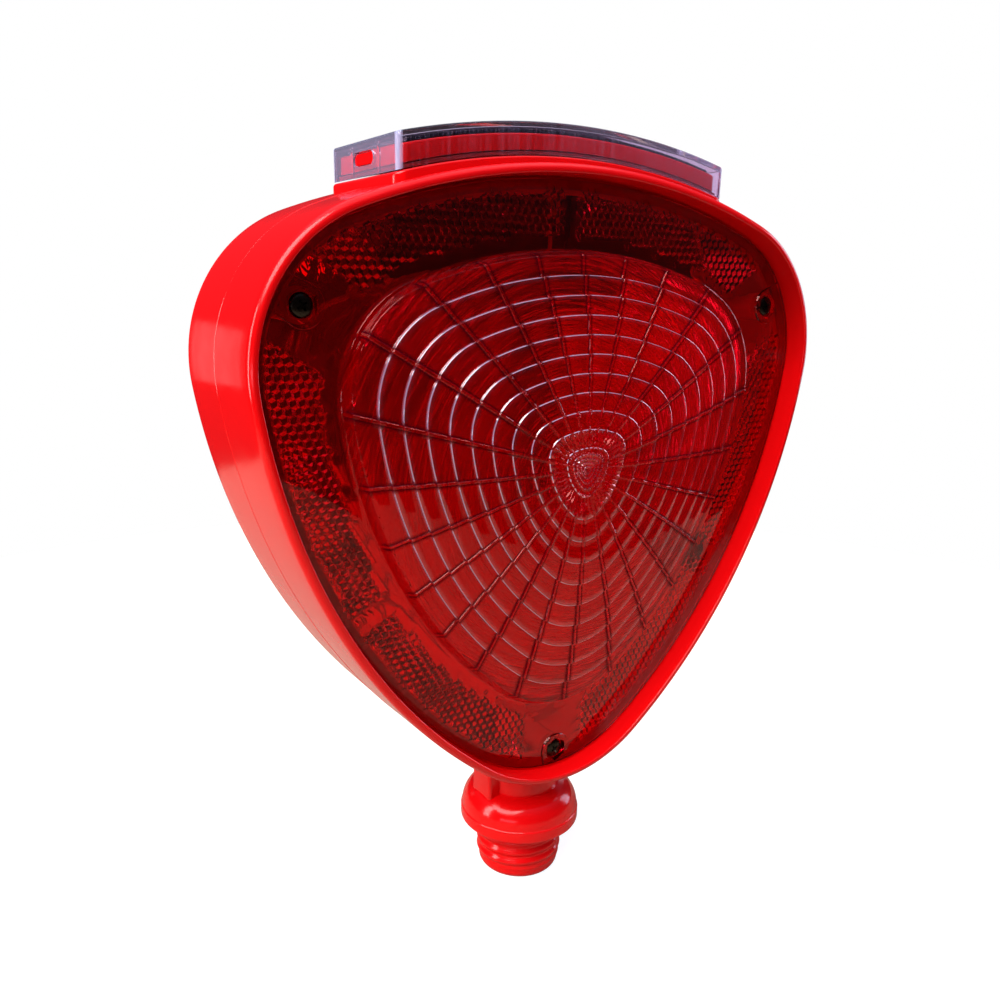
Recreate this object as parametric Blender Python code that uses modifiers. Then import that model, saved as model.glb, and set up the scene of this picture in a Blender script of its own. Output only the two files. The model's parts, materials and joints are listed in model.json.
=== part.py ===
"""Double-lens solar warning lamp on a threaded stem, for a traffic cone or a barricade.

Units are metres and +Z is up. X runs across the lamp, and the front lens faces -Y. The origin
is the middle of the underside of the stem's flange, the face that seats on the holder.
Shapes in the lens plane are drawn about the lens centre, LENS_Z above the origin.
"""
import math

import bmesh
import bpy
from mathutils import Matrix, Vector

# Housing outline: a rounded triangle of six tangent arcs, point down
LENS_Z = 0.1248
LOW_RADIUS = 0.0474
LOW_CENTRE = (0.0, -0.0536)
HIGH_RADIUS = 0.0418
HIGH_CENTRE = (0.0527, 0.0282)
TOP_RADIUS = 0.1956
SIDE_RADIUS = 0.1735
CORNER_STEPS = 11
SIDE_STEPS = 6

# Housing section, from the mid plane outwards; the two faces are the same
HALF_DEPTH = 0.0245
WALL = 0.0029
RIM_ROUND = 0.0013
LEDGE_FACE = 0.0143
LEDGE_THICK = 0.0024
LEDGE_WIDTH = 0.0075
GAP = 0.0003
OVERRUN = 0.0010
CUT_RUN = 0.0040

# Lenses
LENS_FACE = 0.0184
LENS_THICK = 0.0024
LENS_CLEARANCE = 0.0036
DOME_SHARE = 0.77
DOME_EDGE_RISE = 0.0042
DOME_RISE = 0.0102
DOME_RINGS = 7
DOME_STEP = 0.0012
DOME_STEP_SHARE = 0.012
DOME_WALL = 0.0022
LENS_STEPS = 48
GASKET_OUTER = 0.0037
GASKET_INNER = 0.0062

# Lens screws: one near each corner, on each face
SCREW_CIRCLE = 0.0907
SCREW_DROP = 0.0015
BOSS_RADIUS = 0.0044
SCREW_HOLE = 0.0018
SCREW_BORE_FLOOR = 0.0012
SCREW_SHANK = 0.0014
SCREW_HEAD = 0.0030
SCREW_HEAD_HIGH = 0.0014
SCREW_LENGTH = 0.0130
SCREW_POINT = 0.0015
HEX_ACROSS = 0.0074
HEX_DEPTH = 0.0014
PAD_RADIUS = 0.0056
PAD_RISE = 0.0006
PAD_ROOT = 0.0008

# Neck, flange and threaded stem
NECK_HALF_WIDTH = 0.0162
NECK_HALF_DEPTH = 0.0052
NECK_TOP = 0.0263
COLUMN_RADIUS = 0.0130
FLANGE_RADIUS = 0.0201
FLANGE_EDGE = 0.0042
FLANGE_SWELL = 0.0085
THREAD_RADIUS = 0.0145
THREAD_BEAD = 0.0009
THREAD_PITCH = 0.0036
THREAD_TURNS = 3.5
STEM_LENGTH = 0.0182
STEM_BORE = 0.0085
STEM_BORE_TOP = 0.010

# Solar unit on top: arcs are (radius, height of the middle above the lens centre)
PEDESTAL_ARC = (0.2110, 0.0809)
PEDESTAL_HALF = (0.0545, 0.0192)
COVER_FOOT_ARC = (0.2110, 0.0812)
COVER_TOP_ARC = (0.2342, 0.0888)
COVER_HALF = (0.0536, 0.0187)
COVER_WALL = 0.0012
COVER_CORNER = 0.0030
SEAL_ARCS = ((0.2110, 0.0812), (0.2120, 0.0821))
TRAY_ARCS = ((0.2123, 0.0824), (0.2280, 0.0862))
TRAY_HALF = (0.0518, 0.0170)
TRAY_WALL = 0.0022
PANEL_ARCS = ((0.2283, 0.0865), (0.2294, 0.0875))
PANEL_HALF = (0.0500, 0.0155)
LATCH_HALF = (0.0052, 0.0013)
LATCH_SLOT_MARGIN = 0.0004
SEAL_WIDTH = 0.0024
SOLAR_RANGE = (0.060, 0.100)
TRAY_SCREW_X = 0.0380
TRAY_SCREW_LENGTH = 0.0085
TRAY_SCREW_DROP = 0.0012
TRAY_POST_RADIUS = 0.0034
TRAY_POST_HIGH = 0.0030
LEAD_HOLE_Y = -0.0097
LEAD_HOLE_HALF = (0.0050, 0.0016)

# Battery and board, in the space between the lenses
CELL_RADIUS = 0.00725
CELL_LENGTH = 0.0490
CELL_ORBIT = 0.1818
CELL_ANGLE = math.radians(8.7)
CELL_CLEARANCE = 0.0004
CELL_NUB_RADIUS = 0.0026
CELL_NUB_HIGH = 0.0012
CONTACT_HALF = 0.0040
CONTACT_THICK = 0.0006
CRADLE_HALF = (0.0270, 0.0083)
CRADLE_DEPTH = 0.0090
CRADLE_END = 0.0013
RIB_HALF = 0.0240
RIB_BACK = 0.0052
RIB_LEVELS = (0.0450, 0.0590)
BOARD_THICK = 0.0016
BOARD_FRONT = -BOARD_THICK / 2 - GAP
BOARD_LEVEL = 0.0485
BOARD_SCREW_X = 0.0200
BOARD_SCREW_LENGTH = 0.0042
BOARD_BAR = (0.0270, 0.0440, 0.0530)
BOARD_STALK = (0.0060, -0.0130)
LED_RADIUS = 0.0025
LED_RIM_RADIUS = 0.0029
LED_RIM_HIGH = 0.0010
LED_HIGH = 0.0086
LED_PITCH = 0.0075
CHIP_SIZE = 0.0050
CHIP_HIGH = 0.0016
CHIP_X = 0.0105
CAPACITOR_RADIUS = 0.0027
CAPACITOR_HIGH = 0.0060
CAPACITOR_X = -0.0120
PHOTOCELL_RADIUS = 0.0025
PHOTOCELL_HIGH = 0.0018
PHOTOCELL_LEVEL = 0.0380
PANEL_LEAD_X = 0.0028
LEAD_RADIUS = 0.0006

# Push switch, low on the right-hand wall
SWITCH_ANGLE = math.radians(-30.0)
SWITCH_BARREL = 0.0062
SWITCH_BORE = 0.0053
SWITCH_BODY_HALF = 0.0068
SWITCH_BODY_DEPTH = 0.0100
SWITCH_FLOOR = 0.0015
WASHER_THICK = 0.0008
BEZEL_RADIUS = 0.0088
BEZEL_THICK = 0.0020
BEZEL_EDGE = 0.0006
BUTTON_RADIUS = 0.0044
BUTTON_COLLAR = 0.0050
COLLAR_THICK = 0.0014
BUTTON_STAND = 0.0032

RED = (0.60, 0.004, 0.006, 1.0)
CLEAR = (0.85, 0.88, 0.92, 1.0)
BLACK = (0.012, 0.012, 0.014, 1.0)
STEEL = (0.55, 0.55, 0.57, 1.0)
GREEN = (0.02, 0.14, 0.05, 1.0)
WHITE = (0.75, 0.75, 0.72, 1.0)


# ------------------------------------------------------------------ scene and materials
def clear_scene():
    for item in list(bpy.data.objects):
        bpy.data.objects.remove(item, do_unlink=True)


def new_collection(name):
    collection = bpy.data.collections.new(name)
    bpy.context.scene.collection.children.link(collection)
    return collection


def make_material(name, colour, roughness, metallic=0.0, transmission=0.0):
    material = bpy.data.materials.new(name)
    material.use_nodes = True
    shader = material.node_tree.nodes["Principled BSDF"]
    shader.inputs["Base Color"].default_value = colour
    shader.inputs["Roughness"].default_value = roughness
    shader.inputs["Metallic"].default_value = metallic
    shader.inputs["Transmission Weight"].default_value = transmission
    material.diffuse_color = colour
    return material


clear_scene()
PARTS = new_collection("solar_warning_lamp")
CUTTERS = new_collection("cutters")
MATERIALS = {
    "red_plastic": make_material("red_plastic", RED, 0.22),
    "red_lens": make_material("red_lens", (0.75, 0.01, 0.02, 1.0), 0.05, 0.0, 0.9),
    "clear_plastic": make_material("clear_plastic", CLEAR, 0.05, 0.0, 0.95),
    "rubber": make_material("rubber", BLACK, 0.8),
    "red_silicone": make_material("red_silicone", (0.35, 0.01, 0.01, 1.0), 0.6),
    "steel": make_material("steel", STEEL, 0.35, 1.0),
    "solar_cell": make_material("solar_cell", (0.008, 0.009, 0.02, 1.0), 0.2),
    "board": make_material("board", GREEN, 0.5),
    "led": make_material("led", (0.8, 0.05, 0.04, 1.0), 0.1, 0.0, 0.6),
    "black_plastic": make_material("black_plastic", BLACK, 0.45),
    "cell_sleeve": make_material("cell_sleeve", (0.04, 0.18, 0.32, 1.0), 0.35),
    "white_ceramic": make_material("white_ceramic", WHITE, 0.5),
    "red_wire": make_material("red_wire", (0.45, 0.01, 0.01, 1.0), 0.5),
    "black_wire": make_material("black_wire", BLACK, 0.5),
}


# ------------------------------------------------------------------ general helpers
def link(name, mesh, material=None):
    """A finished part when it has a material, and a cutter or building block when it has none."""
    item = bpy.data.objects.new(name, mesh)
    if material:
        mesh.materials.clear()
        mesh.materials.append(MATERIALS[material])
        mesh.shade_smooth()
        mesh.set_sharp_from_angle(angle=math.radians(35))
        PARTS.objects.link(item)
    else:
        CUTTERS.objects.link(item)
        item.hide_render = True
        item.display_type = "WIRE"
    return item


def finish_mesh(name, shape):
    """Weld coincident points, face everything outwards and store the mesh."""
    bmesh.ops.remove_doubles(shape, verts=shape.verts, dist=1e-6)
    bmesh.ops.recalc_face_normals(shape, faces=shape.faces)
    if shape.calc_volume(signed=True) < 0:
        bmesh.ops.reverse_faces(shape, faces=shape.faces)
    mesh = bpy.data.meshes.new(name)
    shape.to_mesh(mesh)
    shape.free()
    return mesh


def bake(item):
    """The evaluated mesh of an object in world space; the object itself is removed."""
    bpy.context.view_layer.update()
    graph = bpy.context.evaluated_depsgraph_get()
    mesh = bpy.data.meshes.new_from_object(item.evaluated_get(graph))
    mesh.transform(item.matrix_world)
    name = item.name
    bpy.data.objects.remove(item)
    shape = bmesh.new()
    shape.from_mesh(mesh)
    bpy.data.meshes.remove(mesh)
    return finish_mesh(name, shape)


def box(name, low, high, material=None, frame=None):
    low, high = Vector(low), Vector(high)
    shape = bmesh.new()
    bmesh.ops.create_cube(shape, size=1.0)
    bmesh.ops.scale(shape, vec=high - low, verts=shape.verts)
    bmesh.ops.translate(shape, vec=(low + high) / 2, verts=shape.verts)
    bmesh.ops.transform(shape, matrix=frame or Matrix(), verts=shape.verts)
    return link(name, finish_mesh(name, shape), material)


def cylinder(name, radius, start, end, material=None, segments=24, end_radius=None):
    start, end = Vector(start), Vector(end)
    turn = (end - start).to_track_quat("Z", "Y").to_matrix().to_4x4()
    shape = bmesh.new()
    bmesh.ops.create_cone(
        shape, cap_ends=True, segments=segments, radius1=radius,
        radius2=radius if end_radius is None else end_radius, depth=(end - start).length)
    bmesh.ops.transform(shape, matrix=Matrix.Translation((start + end) / 2) @ turn, verts=shape.verts)
    return link(name, finish_mesh(name, shape), material)


def turned(name, profile, material=None, steps=24, frame=None):
    """Turn a profile of (radius, height) pairs about Z, listed down its outer side."""
    shape = bmesh.new()
    points = [shape.verts.new((radius, 0.0, height)) for radius, height in profile]
    for first, second in zip(points, points[1:]):
        shape.edges.new((first, second))
    mesh = bpy.data.meshes.new(name)
    shape.to_mesh(mesh)
    shape.free()
    item = bpy.data.objects.new(name + "_profile", mesh)
    CUTTERS.objects.link(item)
    screw = item.modifiers.new("Turn", "SCREW")
    screw.steps = steps
    screw.render_steps = steps
    screw.use_merge_vertices = True
    screw.merge_threshold = 1e-6
    mesh = bake(item)
    mesh.transform(frame or Matrix())
    return link(name, mesh, material)


def plate(name, loops, half_thick, frame, material=None, round_edge=0.0, resolution=2):
    """A flat outline, with any holes as further loops, thickened both ways along its normal."""
    curve = bpy.data.curves.new(name, "CURVE")
    curve.dimensions = "2D"
    curve.fill_mode = "BOTH"
    curve.extrude = half_thick - round_edge
    curve.bevel_depth = round_edge
    curve.bevel_resolution = resolution
    curve.offset = -round_edge
    curve.render_resolution_u = 0
    for loop in loops:
        spline = curve.splines.new("POLY")
        spline.points.add(len(loop) - 1)
        spline.use_cyclic_u = True
        for point, (across, along) in zip(spline.points, loop):
            point.co = (across, along, 0.0, 1.0)
    item = bpy.data.objects.new(name + "_outline", curve)
    CUTTERS.objects.link(item)
    item.matrix_world = frame
    return link(name, bake(item), material)


def wire(name, route, radius, material):
    """A lead: a tube along a smooth curve through the points of its route."""
    points = [Vector(point) for point in route]
    ends = [2 * points[0] - points[1]] + points + [2 * points[-1] - points[-2]]
    smooth = []
    for a, b, c, d in zip(ends, ends[1:], ends[2:], ends[3:]):
        for step in range(4):
            t = step / 4
            smooth.append(0.5 * (2 * b + (c - a) * t + (2 * a - 5 * b + 4 * c - d) * t * t
                                 + (3 * b - a - 3 * c + d) * t * t * t))
    smooth.append(points[-1])
    curve = bpy.data.curves.new(name, "CURVE")
    curve.dimensions = "3D"
    curve.bevel_depth = radius
    curve.bevel_resolution = 1
    curve.use_fill_caps = True
    curve.render_resolution_u = 0
    spline = curve.splines.new("POLY")
    spline.points.add(len(smooth) - 1)
    for point, place in zip(spline.points, smooth):
        point.co = (*place, 1.0)
    item = bpy.data.objects.new(name + "_route", curve)
    CUTTERS.objects.link(item)
    return link(name, bake(item), material)


def combine(target, tools, operation):
    for tool in tools:
        change = target.modifiers.new(tool.name, "BOOLEAN")
        change.operation = operation
        change.object = tool
        change.solver = "EXACT"


# ------------------------------------------------------------------ outline of the lamp
LENS_PLANE = Matrix.Translation((0, 0, LENS_Z)) @ Matrix.Rotation(math.radians(90), 4, "X")
REAR_TURN = Matrix.Rotation(math.radians(180), 4, "Z")


def side_centre(first, first_radius, second, second_radius, radius):
    """Centre of the arc of this radius that runs around two corner circles, touching both."""
    first, second = Vector(first), Vector(second)
    reach_a, reach_b = radius - first_radius, radius - second_radius
    span = (second - first).length
    along = (reach_a ** 2 - reach_b ** 2 + span ** 2) / (2 * span)
    ahead = (second - first) / span
    return first + along * ahead + math.sqrt(reach_a ** 2 - along ** 2) * Vector((-ahead.y, ahead.x))


def heading(centre, corner):
    return math.atan2(corner[1] - centre[1], corner[0] - centre[0])


def outline_arcs():
    """Right half of the outline as (centre, radius, start angle, end angle), bottom to top."""
    high_left = (-HIGH_CENTRE[0], HIGH_CENTRE[1])
    side = side_centre(LOW_CENTRE, LOW_RADIUS, HIGH_CENTRE, HIGH_RADIUS, SIDE_RADIUS)
    top = side_centre(HIGH_CENTRE, HIGH_RADIUS, high_left, HIGH_RADIUS, TOP_RADIUS)
    low_end, high_start = heading(side, LOW_CENTRE), heading(side, HIGH_CENTRE)
    high_end = heading(top, HIGH_CENTRE)
    return [
        (Vector(LOW_CENTRE), LOW_RADIUS, -math.pi / 2, low_end),
        (side, SIDE_RADIUS, low_end, high_start),
        (Vector(HIGH_CENTRE), HIGH_RADIUS, high_start, high_end),
        (top, TOP_RADIUS, high_end, math.pi / 2),
    ]


ARCS = outline_arcs()


def outline(offset=0.0):
    """The outline moved in by an offset, as a closed loop about the lens centre."""
    right = []
    for (centre, radius, start, end), steps in zip(ARCS, (CORNER_STEPS // 2, SIDE_STEPS, CORNER_STEPS, 4)):
        for step in range(steps):
            angle = start + (end - start) * step / steps
            reach = radius - offset
            right.append((centre.x + reach * math.cos(angle), centre.y + reach * math.sin(angle)))
    top = (0.0, ARCS[3][0].y + TOP_RADIUS - offset)
    left = [(-x, z) for x, z in reversed(right[1:])]
    return right + [top] + left


def reach_of_outline(angle):
    """Distance from the lens centre to the outline, in a direction measured from straight down."""
    ray = Vector((abs(math.sin(angle)), -math.cos(angle)))
    best = 0.0
    for centre, radius, start, end in ARCS:
        along = ray.dot(centre)
        distance = along + math.sqrt(max(along ** 2 - centre.length_squared + radius ** 2, 0.0))
        turn = math.atan2(ray.y * distance - centre.y, ray.x * distance - centre.x)
        if start - 1e-9 <= turn <= end + 1e-9:
            best = distance
    return best


def circle(radius, centre=(0.0, 0.0), steps=16):
    turns = [2 * math.pi * step / steps for step in range(steps)]
    return [(centre[0] + radius * math.cos(t), centre[1] + radius * math.sin(t)) for t in turns]


def screw_places():
    turns = [math.radians(angle) for angle in (30, 150, 270)]
    return [(SCREW_CIRCLE * math.cos(t), SCREW_CIRCLE * math.sin(t) - SCREW_DROP) for t in turns]


def on_face(place, depth):
    """A point at this place in the lens plane, this far in front of the mid plane."""
    return Vector((place[0], -depth, LENS_Z + place[1]))


def slab_frame(depth):
    return Matrix.Translation((0, -depth, 0)) @ LENS_PLANE


# ------------------------------------------------------------------ housing
def stem_profile():
    """Stem, flange and round column, as (radius, height), listed from the top down."""
    swell = []
    for step in range(6):
        turn = math.radians(90 * step / 5)
        swell.append((COLUMN_RADIUS + (FLANGE_RADIUS - 0.0006 - COLUMN_RADIUS) * math.sin(turn),
                      FLANGE_EDGE + FLANGE_SWELL * math.cos(turn)))
    core = THREAD_RADIUS - THREAD_BEAD
    return [(0.0, NECK_TOP), (COLUMN_RADIUS, NECK_TOP)] + swell + [
        (FLANGE_RADIUS, FLANGE_EDGE - 0.0006),
        (FLANGE_RADIUS, 0.0008),
        (FLANGE_RADIUS - 0.0008, 0.0),
        (core, 0.0),
        (core, -STEM_LENGTH + 0.0030),
        (core - 0.0008, -STEM_LENGTH + 0.0010),
        (core - 0.0025, -STEM_LENGTH),
        (0.0, -STEM_LENGTH),
    ]


def thread_bead():
    """The rounded thread: a bead along a helix, which runs out into the core at both ends."""
    per_turn = 16
    count = int(THREAD_TURNS * per_turn)
    seat = THREAD_RADIUS - THREAD_BEAD
    curve = bpy.data.curves.new("thread", "CURVE")
    curve.dimensions = "3D"
    curve.bevel_depth = THREAD_BEAD
    curve.bevel_resolution = 1
    curve.use_fill_caps = True
    curve.render_resolution_u = 0
    spline = curve.splines.new("POLY")
    spline.points.add(count)
    for step, point in enumerate(spline.points):
        turn = 2 * math.pi * (step + 0.37) / per_turn
        sink = max(0.0, per_turn / 2 - min(step, count - step)) / (per_turn / 2)
        reach = seat - sink * THREAD_BEAD
        height = -0.0020 - THREAD_PITCH * step / per_turn
        point.co = (reach * math.cos(turn), -reach * math.sin(turn), height, 1.0)
    item = bpy.data.objects.new("thread_route", curve)
    CUTTERS.objects.link(item)
    return link("thread", bake(item))


def crescent(name, arcs, half, wall=0.0, material=None):
    """A block between two arcs that bow upwards, its plan a rectangle shrunk by a wall."""
    (low_radius, low_mid), (high_radius, high_mid) = arcs
    width = half[0] - wall
    steps = 12

    def height(x, radius, mid):
        return mid - radius + math.sqrt(radius ** 2 - x ** 2)

    across = [-width + 2 * width * step / steps for step in range(steps + 1)]
    low = [(x, height(x, low_radius, low_mid)) for x in across]
    high = [(x, height(x, high_radius, high_mid)) for x in reversed(across)]
    return plate(name, [low + high], half[1] - wall, LENS_PLANE, material)


def rounded_prism(name, half, corner, low, high):
    """An upright prism with a rounded rectangular plan, for trimming the solar unit."""
    loop = []
    for turn, (x, y) in enumerate(((1, 1), (-1, 1), (-1, -1), (1, -1))):
        for step in range(4):
            angle = math.radians(90 * turn + 30 * step)
            loop.append((x * (half[0] - corner) + corner * math.cos(angle),
                         y * (half[1] - corner) + corner * math.sin(angle)))
    frame = Matrix.Translation((0, 0, (low + high) / 2))
    return plate(name, [loop], (high - low) / 2, frame)


def switch_frame():
    """Frame with its origin on the wall's outer face and +Z along the outward normal."""
    centre, radius = ARCS[1][0], ARCS[1][1]
    normal = Vector((math.cos(SWITCH_ANGLE), 0.0, math.sin(SWITCH_ANGLE)))
    across = Vector((0.0, 1.0, 0.0))
    third = across.cross(normal)
    turn = Matrix((third, across, normal)).transposed().to_4x4()
    place = Vector((centre.x, 0.0, LENS_Z + centre.y)) + radius * normal
    return Matrix.Translation(place) @ turn


SWITCH = switch_frame()


def lead_hole(name, low, high):
    """Cutter for the slot that the panel's leads pass through."""
    half_x, half_y = LEAD_HOLE_HALF
    return box(name, (-half_x, LEAD_HOLE_Y - half_y, low), (half_x, LEAD_HOLE_Y + half_y, high))


def along_switch(height, x=0.0, y=0.0):
    return SWITCH @ Vector((x, y, height))


def make_housing():
    housing = plate("housing", [outline(), outline(WALL)], HALF_DEPTH, LENS_PLANE,
                    "red_plastic", RIM_ROUND, 1)
    ledge_middle = LEDGE_FACE - LEDGE_THICK / 2
    added = []
    for label, side in (("front", 1), ("rear", -1)):
        added.append(plate("ledge_" + label, [outline(WALL / 2), outline(LEDGE_WIDTH)], LEDGE_THICK / 2,
                           slab_frame(side * ledge_middle)))
    for number, place in enumerate(screw_places()):
        added.append(cylinder("boss_%d" % number, BOSS_RADIUS, on_face(place, LEDGE_FACE - 0.0001),
                              on_face(place, 0.0001 - LEDGE_FACE), None, 16))
    added.append(crescent("pedestal", ((TOP_RADIUS, PEDESTAL_ARC[1] - 0.0031), PEDESTAL_ARC), PEDESTAL_HALF))
    added.append(box("neck", (-NECK_HALF_WIDTH, -NECK_HALF_DEPTH, FLANGE_EDGE - 2 * GAP),
                     (NECK_HALF_WIDTH, NECK_HALF_DEPTH, NECK_TOP + 0.0004)))
    added.append(turned("stem", stem_profile(), None, 32))
    added.append(thread_bead())
    combine(housing, added, "UNION")

    cuts = []
    for label, side in (("front", 1), ("rear", -1)):
        for number, place in enumerate(screw_places()):
            ends = [on_face(place, side * depth) for depth in (LEDGE_FACE + OVERRUN, SCREW_BORE_FLOOR)]
            cuts.append(cylinder("screw_bore_%s_%d" % (label, number), SCREW_HOLE, *ends, None, 10))
    wall_top = LENS_Z + PEDESTAL_ARC[1]
    cuts.append(lead_hole("lead_hole", wall_top - 3 * CUT_RUN, wall_top + CUT_RUN))
    for side in (-1, 1):
        ends = [(side * TRAY_SCREW_X, 0, wall_top + run) for run in (-5 * CUT_RUN, CUT_RUN)]
        cuts.append(cylinder("tray_screw_bore_%d" % side, SCREW_HOLE, *ends, None, 10))
    ends = [along_switch(height) for height in (-2 * WALL, WALL)]
    cuts.append(cylinder("switch_hole", SWITCH_BARREL + GAP, *ends, None, 20))
    ends = [(0, 0, -STEM_LENGTH - OVERRUN), (0, 0, STEM_BORE_TOP)]
    cuts.append(cylinder("stem_bore", STEM_BORE, *ends, None, 20))
    combine(housing, cuts, "DIFFERENCE")


# ------------------------------------------------------------------ lenses, gaskets, lens screws
def lens_profile():
    """The lens as a turned shape of unit radius: (share of the outline's reach, height)."""
    face, inside_face = LENS_FACE, LENS_FACE - LENS_THICK
    outer = [(1.0, inside_face), (1.0, face), (DOME_SHARE + DOME_STEP_SHARE, face)]
    for ring in range(DOME_RINGS):
        share = DOME_SHARE * (1 - ring / (DOME_RINGS + 0.5))
        rise = dome_rise(share)
        outer.append((share, face + rise - DOME_STEP))
        outer.append((share - DOME_STEP_SHARE, face + rise))
    outer.append((0.0, face + DOME_RISE))
    inner = [(0.0, face + DOME_RISE - DOME_WALL)]
    for step in (1, 2):
        share = DOME_SHARE * 0.94 * step / 2
        inner.append((share, face + dome_rise(share) - DOME_WALL))
    inner.append((DOME_SHARE - 0.01, inside_face))
    return list(reversed(outer)) + list(reversed(inner))


def dome_rise(share):
    return DOME_EDGE_RISE + (DOME_RISE - DOME_EDGE_RISE) * (1 - (share / DOME_SHARE) ** 2)


def make_lens(name, turn):
    lens = turned(name, lens_profile(), "red_lens", LENS_STEPS)
    for vertex in lens.data.vertices:
        x, y, height = vertex.co
        share = math.hypot(x, y)
        angle = math.atan2(x, -y)
        reach = share * (reach_of_outline(angle) - LENS_CLEARANCE)
        vertex.co = (reach * math.sin(angle), -reach * math.cos(angle), height)
    lens.data.transform(turn @ LENS_PLANE)

    def between(label, radius, place, start, end, segments):
        ends = [turn @ on_face(place, depth) for depth in (start, end)]
        return cylinder("%s_%s" % (name, label), radius, *ends, None, segments)

    above = LENS_FACE + OVERRUN
    below = LENS_FACE - LENS_THICK - OVERRUN
    pad_ends = (LENS_FACE + PAD_RISE, LENS_FACE - PAD_ROOT)
    hex_radius = HEX_ACROSS / math.sqrt(3)
    pads = []
    cuts = []
    for number, place in enumerate(screw_places()):
        pads.append(between("pad_%d" % number, PAD_RADIUS, place, *pad_ends, 20))
        cuts.append(between("hole_%d" % number, SCREW_HOLE, place, above, below, 10))
        cuts.append(between("hex_%d" % number, hex_radius, place, above, LENS_FACE - HEX_DEPTH, 6))
    combine(lens, pads, "UNION")
    combine(lens, cuts, "DIFFERENCE")


def make_gasket(name, side):
    inner_face = LEDGE_FACE + GAP
    outer_face = LENS_FACE - LENS_THICK - GAP
    plate(name, [outline(GASKET_OUTER), outline(GASKET_INNER)], (outer_face - inner_face) / 2,
          slab_frame(side * (outer_face + inner_face) / 2), "red_silicone")


def pan_screw(name, seat, direction, length):
    """A pan head screw with its head's underside at seat, pointing along direction."""
    profile = [
        (0.0, SCREW_HEAD_HIGH),
        (SCREW_HEAD * 0.6, SCREW_HEAD_HIGH * 0.9),
        (SCREW_HEAD, SCREW_HEAD_HIGH * 0.4),
        (SCREW_HEAD, 0.0),
        (SCREW_SHANK, 0.0),
        (SCREW_SHANK, -length + SCREW_POINT),
        (0.0, -length),
    ]
    turn = (-Vector(direction)).to_track_quat("Z", "Y").to_matrix().to_4x4()
    return turned(name, profile, "steel", 12, Matrix.Translation(seat) @ turn)


def make_lens_screws(name, side):
    seat = LENS_FACE - HEX_DEPTH + GAP
    for corner, place in zip(("right", "left", "low"), screw_places()):
        pan_screw("%s_%s" % (name, corner), on_face(place, side * seat), (0, side, 0), SCREW_LENGTH)


# ------------------------------------------------------------------ solar unit
def arc_height(arc, x):
    radius, middle = arc
    return middle - radius + math.sqrt(radius ** 2 - x ** 2)


def latch_height():
    """Height of the latches: half way up the cover's end walls."""
    return (arc_height(COVER_FOOT_ARC, COVER_HALF[0]) + arc_height(COVER_TOP_ARC, COVER_HALF[0])) / 2


def lowered(arc, drop, shrink=0.0):
    return (arc[0] - shrink, arc[1] - drop)


def make_cover():
    cover = crescent("solar_cover", (COVER_FOOT_ARC, COVER_TOP_ARC), COVER_HALF, 0.0, "clear_plastic")
    low, high = LENS_Z + SOLAR_RANGE[0], LENS_Z + SOLAR_RANGE[1]
    combine(cover, [rounded_prism("cover_plan", COVER_HALF, COVER_CORNER, low, high)], "INTERSECT")
    hollow_arcs = (lowered(COVER_FOOT_ARC, CUT_RUN), lowered(COVER_TOP_ARC, COVER_WALL, COVER_WALL))
    cuts = [crescent("cover_hollow", hollow_arcs, COVER_HALF, COVER_WALL)]
    half_wide, half_high = (size + LATCH_SLOT_MARGIN for size in LATCH_HALF)
    height = LENS_Z + latch_height()
    for side in (-1, 1):
        ends = sorted((side * (COVER_HALF[0] + CUT_RUN), side * (COVER_HALF[0] - 2 * COVER_WALL)))
        cuts.append(box("latch_slot_%d" % side, (ends[0], -half_wide, height - half_high),
                        (ends[1], half_wide, height + half_high)))
    combine(cover, cuts, "DIFFERENCE")


def make_tray():
    tray = crescent("solar_tray", TRAY_ARCS, TRAY_HALF, 0.0, "red_plastic")
    pocket_arcs = (lowered(TRAY_ARCS[0], CUT_RUN), lowered(TRAY_ARCS[1], TRAY_WALL))
    pocket = crescent("tray_pocket", pocket_arcs, TRAY_HALF, TRAY_WALL)
    height = LENS_Z + latch_height()
    latches = []
    posts = []
    bores = []
    for side in (-1, 1):
        ends = sorted((side * (TRAY_HALF[0] - OVERRUN), side * (COVER_HALF[0] - GAP)))
        latches.append(box("latch_%d" % side, (ends[0], -LATCH_HALF[0], height - LATCH_HALF[1]),
                           (ends[1], LATCH_HALF[0], height + LATCH_HALF[1])))
        x = side * TRAY_SCREW_X
        foot = LENS_Z + arc_height(TRAY_ARCS[0], x)
        posts.append(cylinder("tray_post_%d" % side, TRAY_POST_RADIUS, (x, 0, foot + GAP),
                              (x, 0, foot + TRAY_POST_HIGH), None, 12))
        bores.append(cylinder("tray_bore_%d" % side, SCREW_HOLE, (x, 0, foot - CUT_RUN),
                              (x, 0, foot + TRAY_POST_HIGH - 0.0008), None, 10))
    top = LENS_Z + TRAY_ARCS[1][1]
    bores.append(lead_hole("tray_lead_hole", top - 2 * TRAY_WALL, top + CUT_RUN))
    combine(tray, [pocket], "DIFFERENCE")
    combine(tray, latches + posts, "UNION")
    combine(tray, bores, "DIFFERENCE")


def make_tray_seal():
    seal = crescent("tray_seal", SEAL_ARCS, TRAY_HALF, 0.0, "red_silicone")
    hole_arcs = (lowered(SEAL_ARCS[0], CUT_RUN), lowered(SEAL_ARCS[1], -CUT_RUN))
    combine(seal, [crescent("seal_hole", hole_arcs, TRAY_HALF, SEAL_WIDTH)], "DIFFERENCE")


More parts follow.
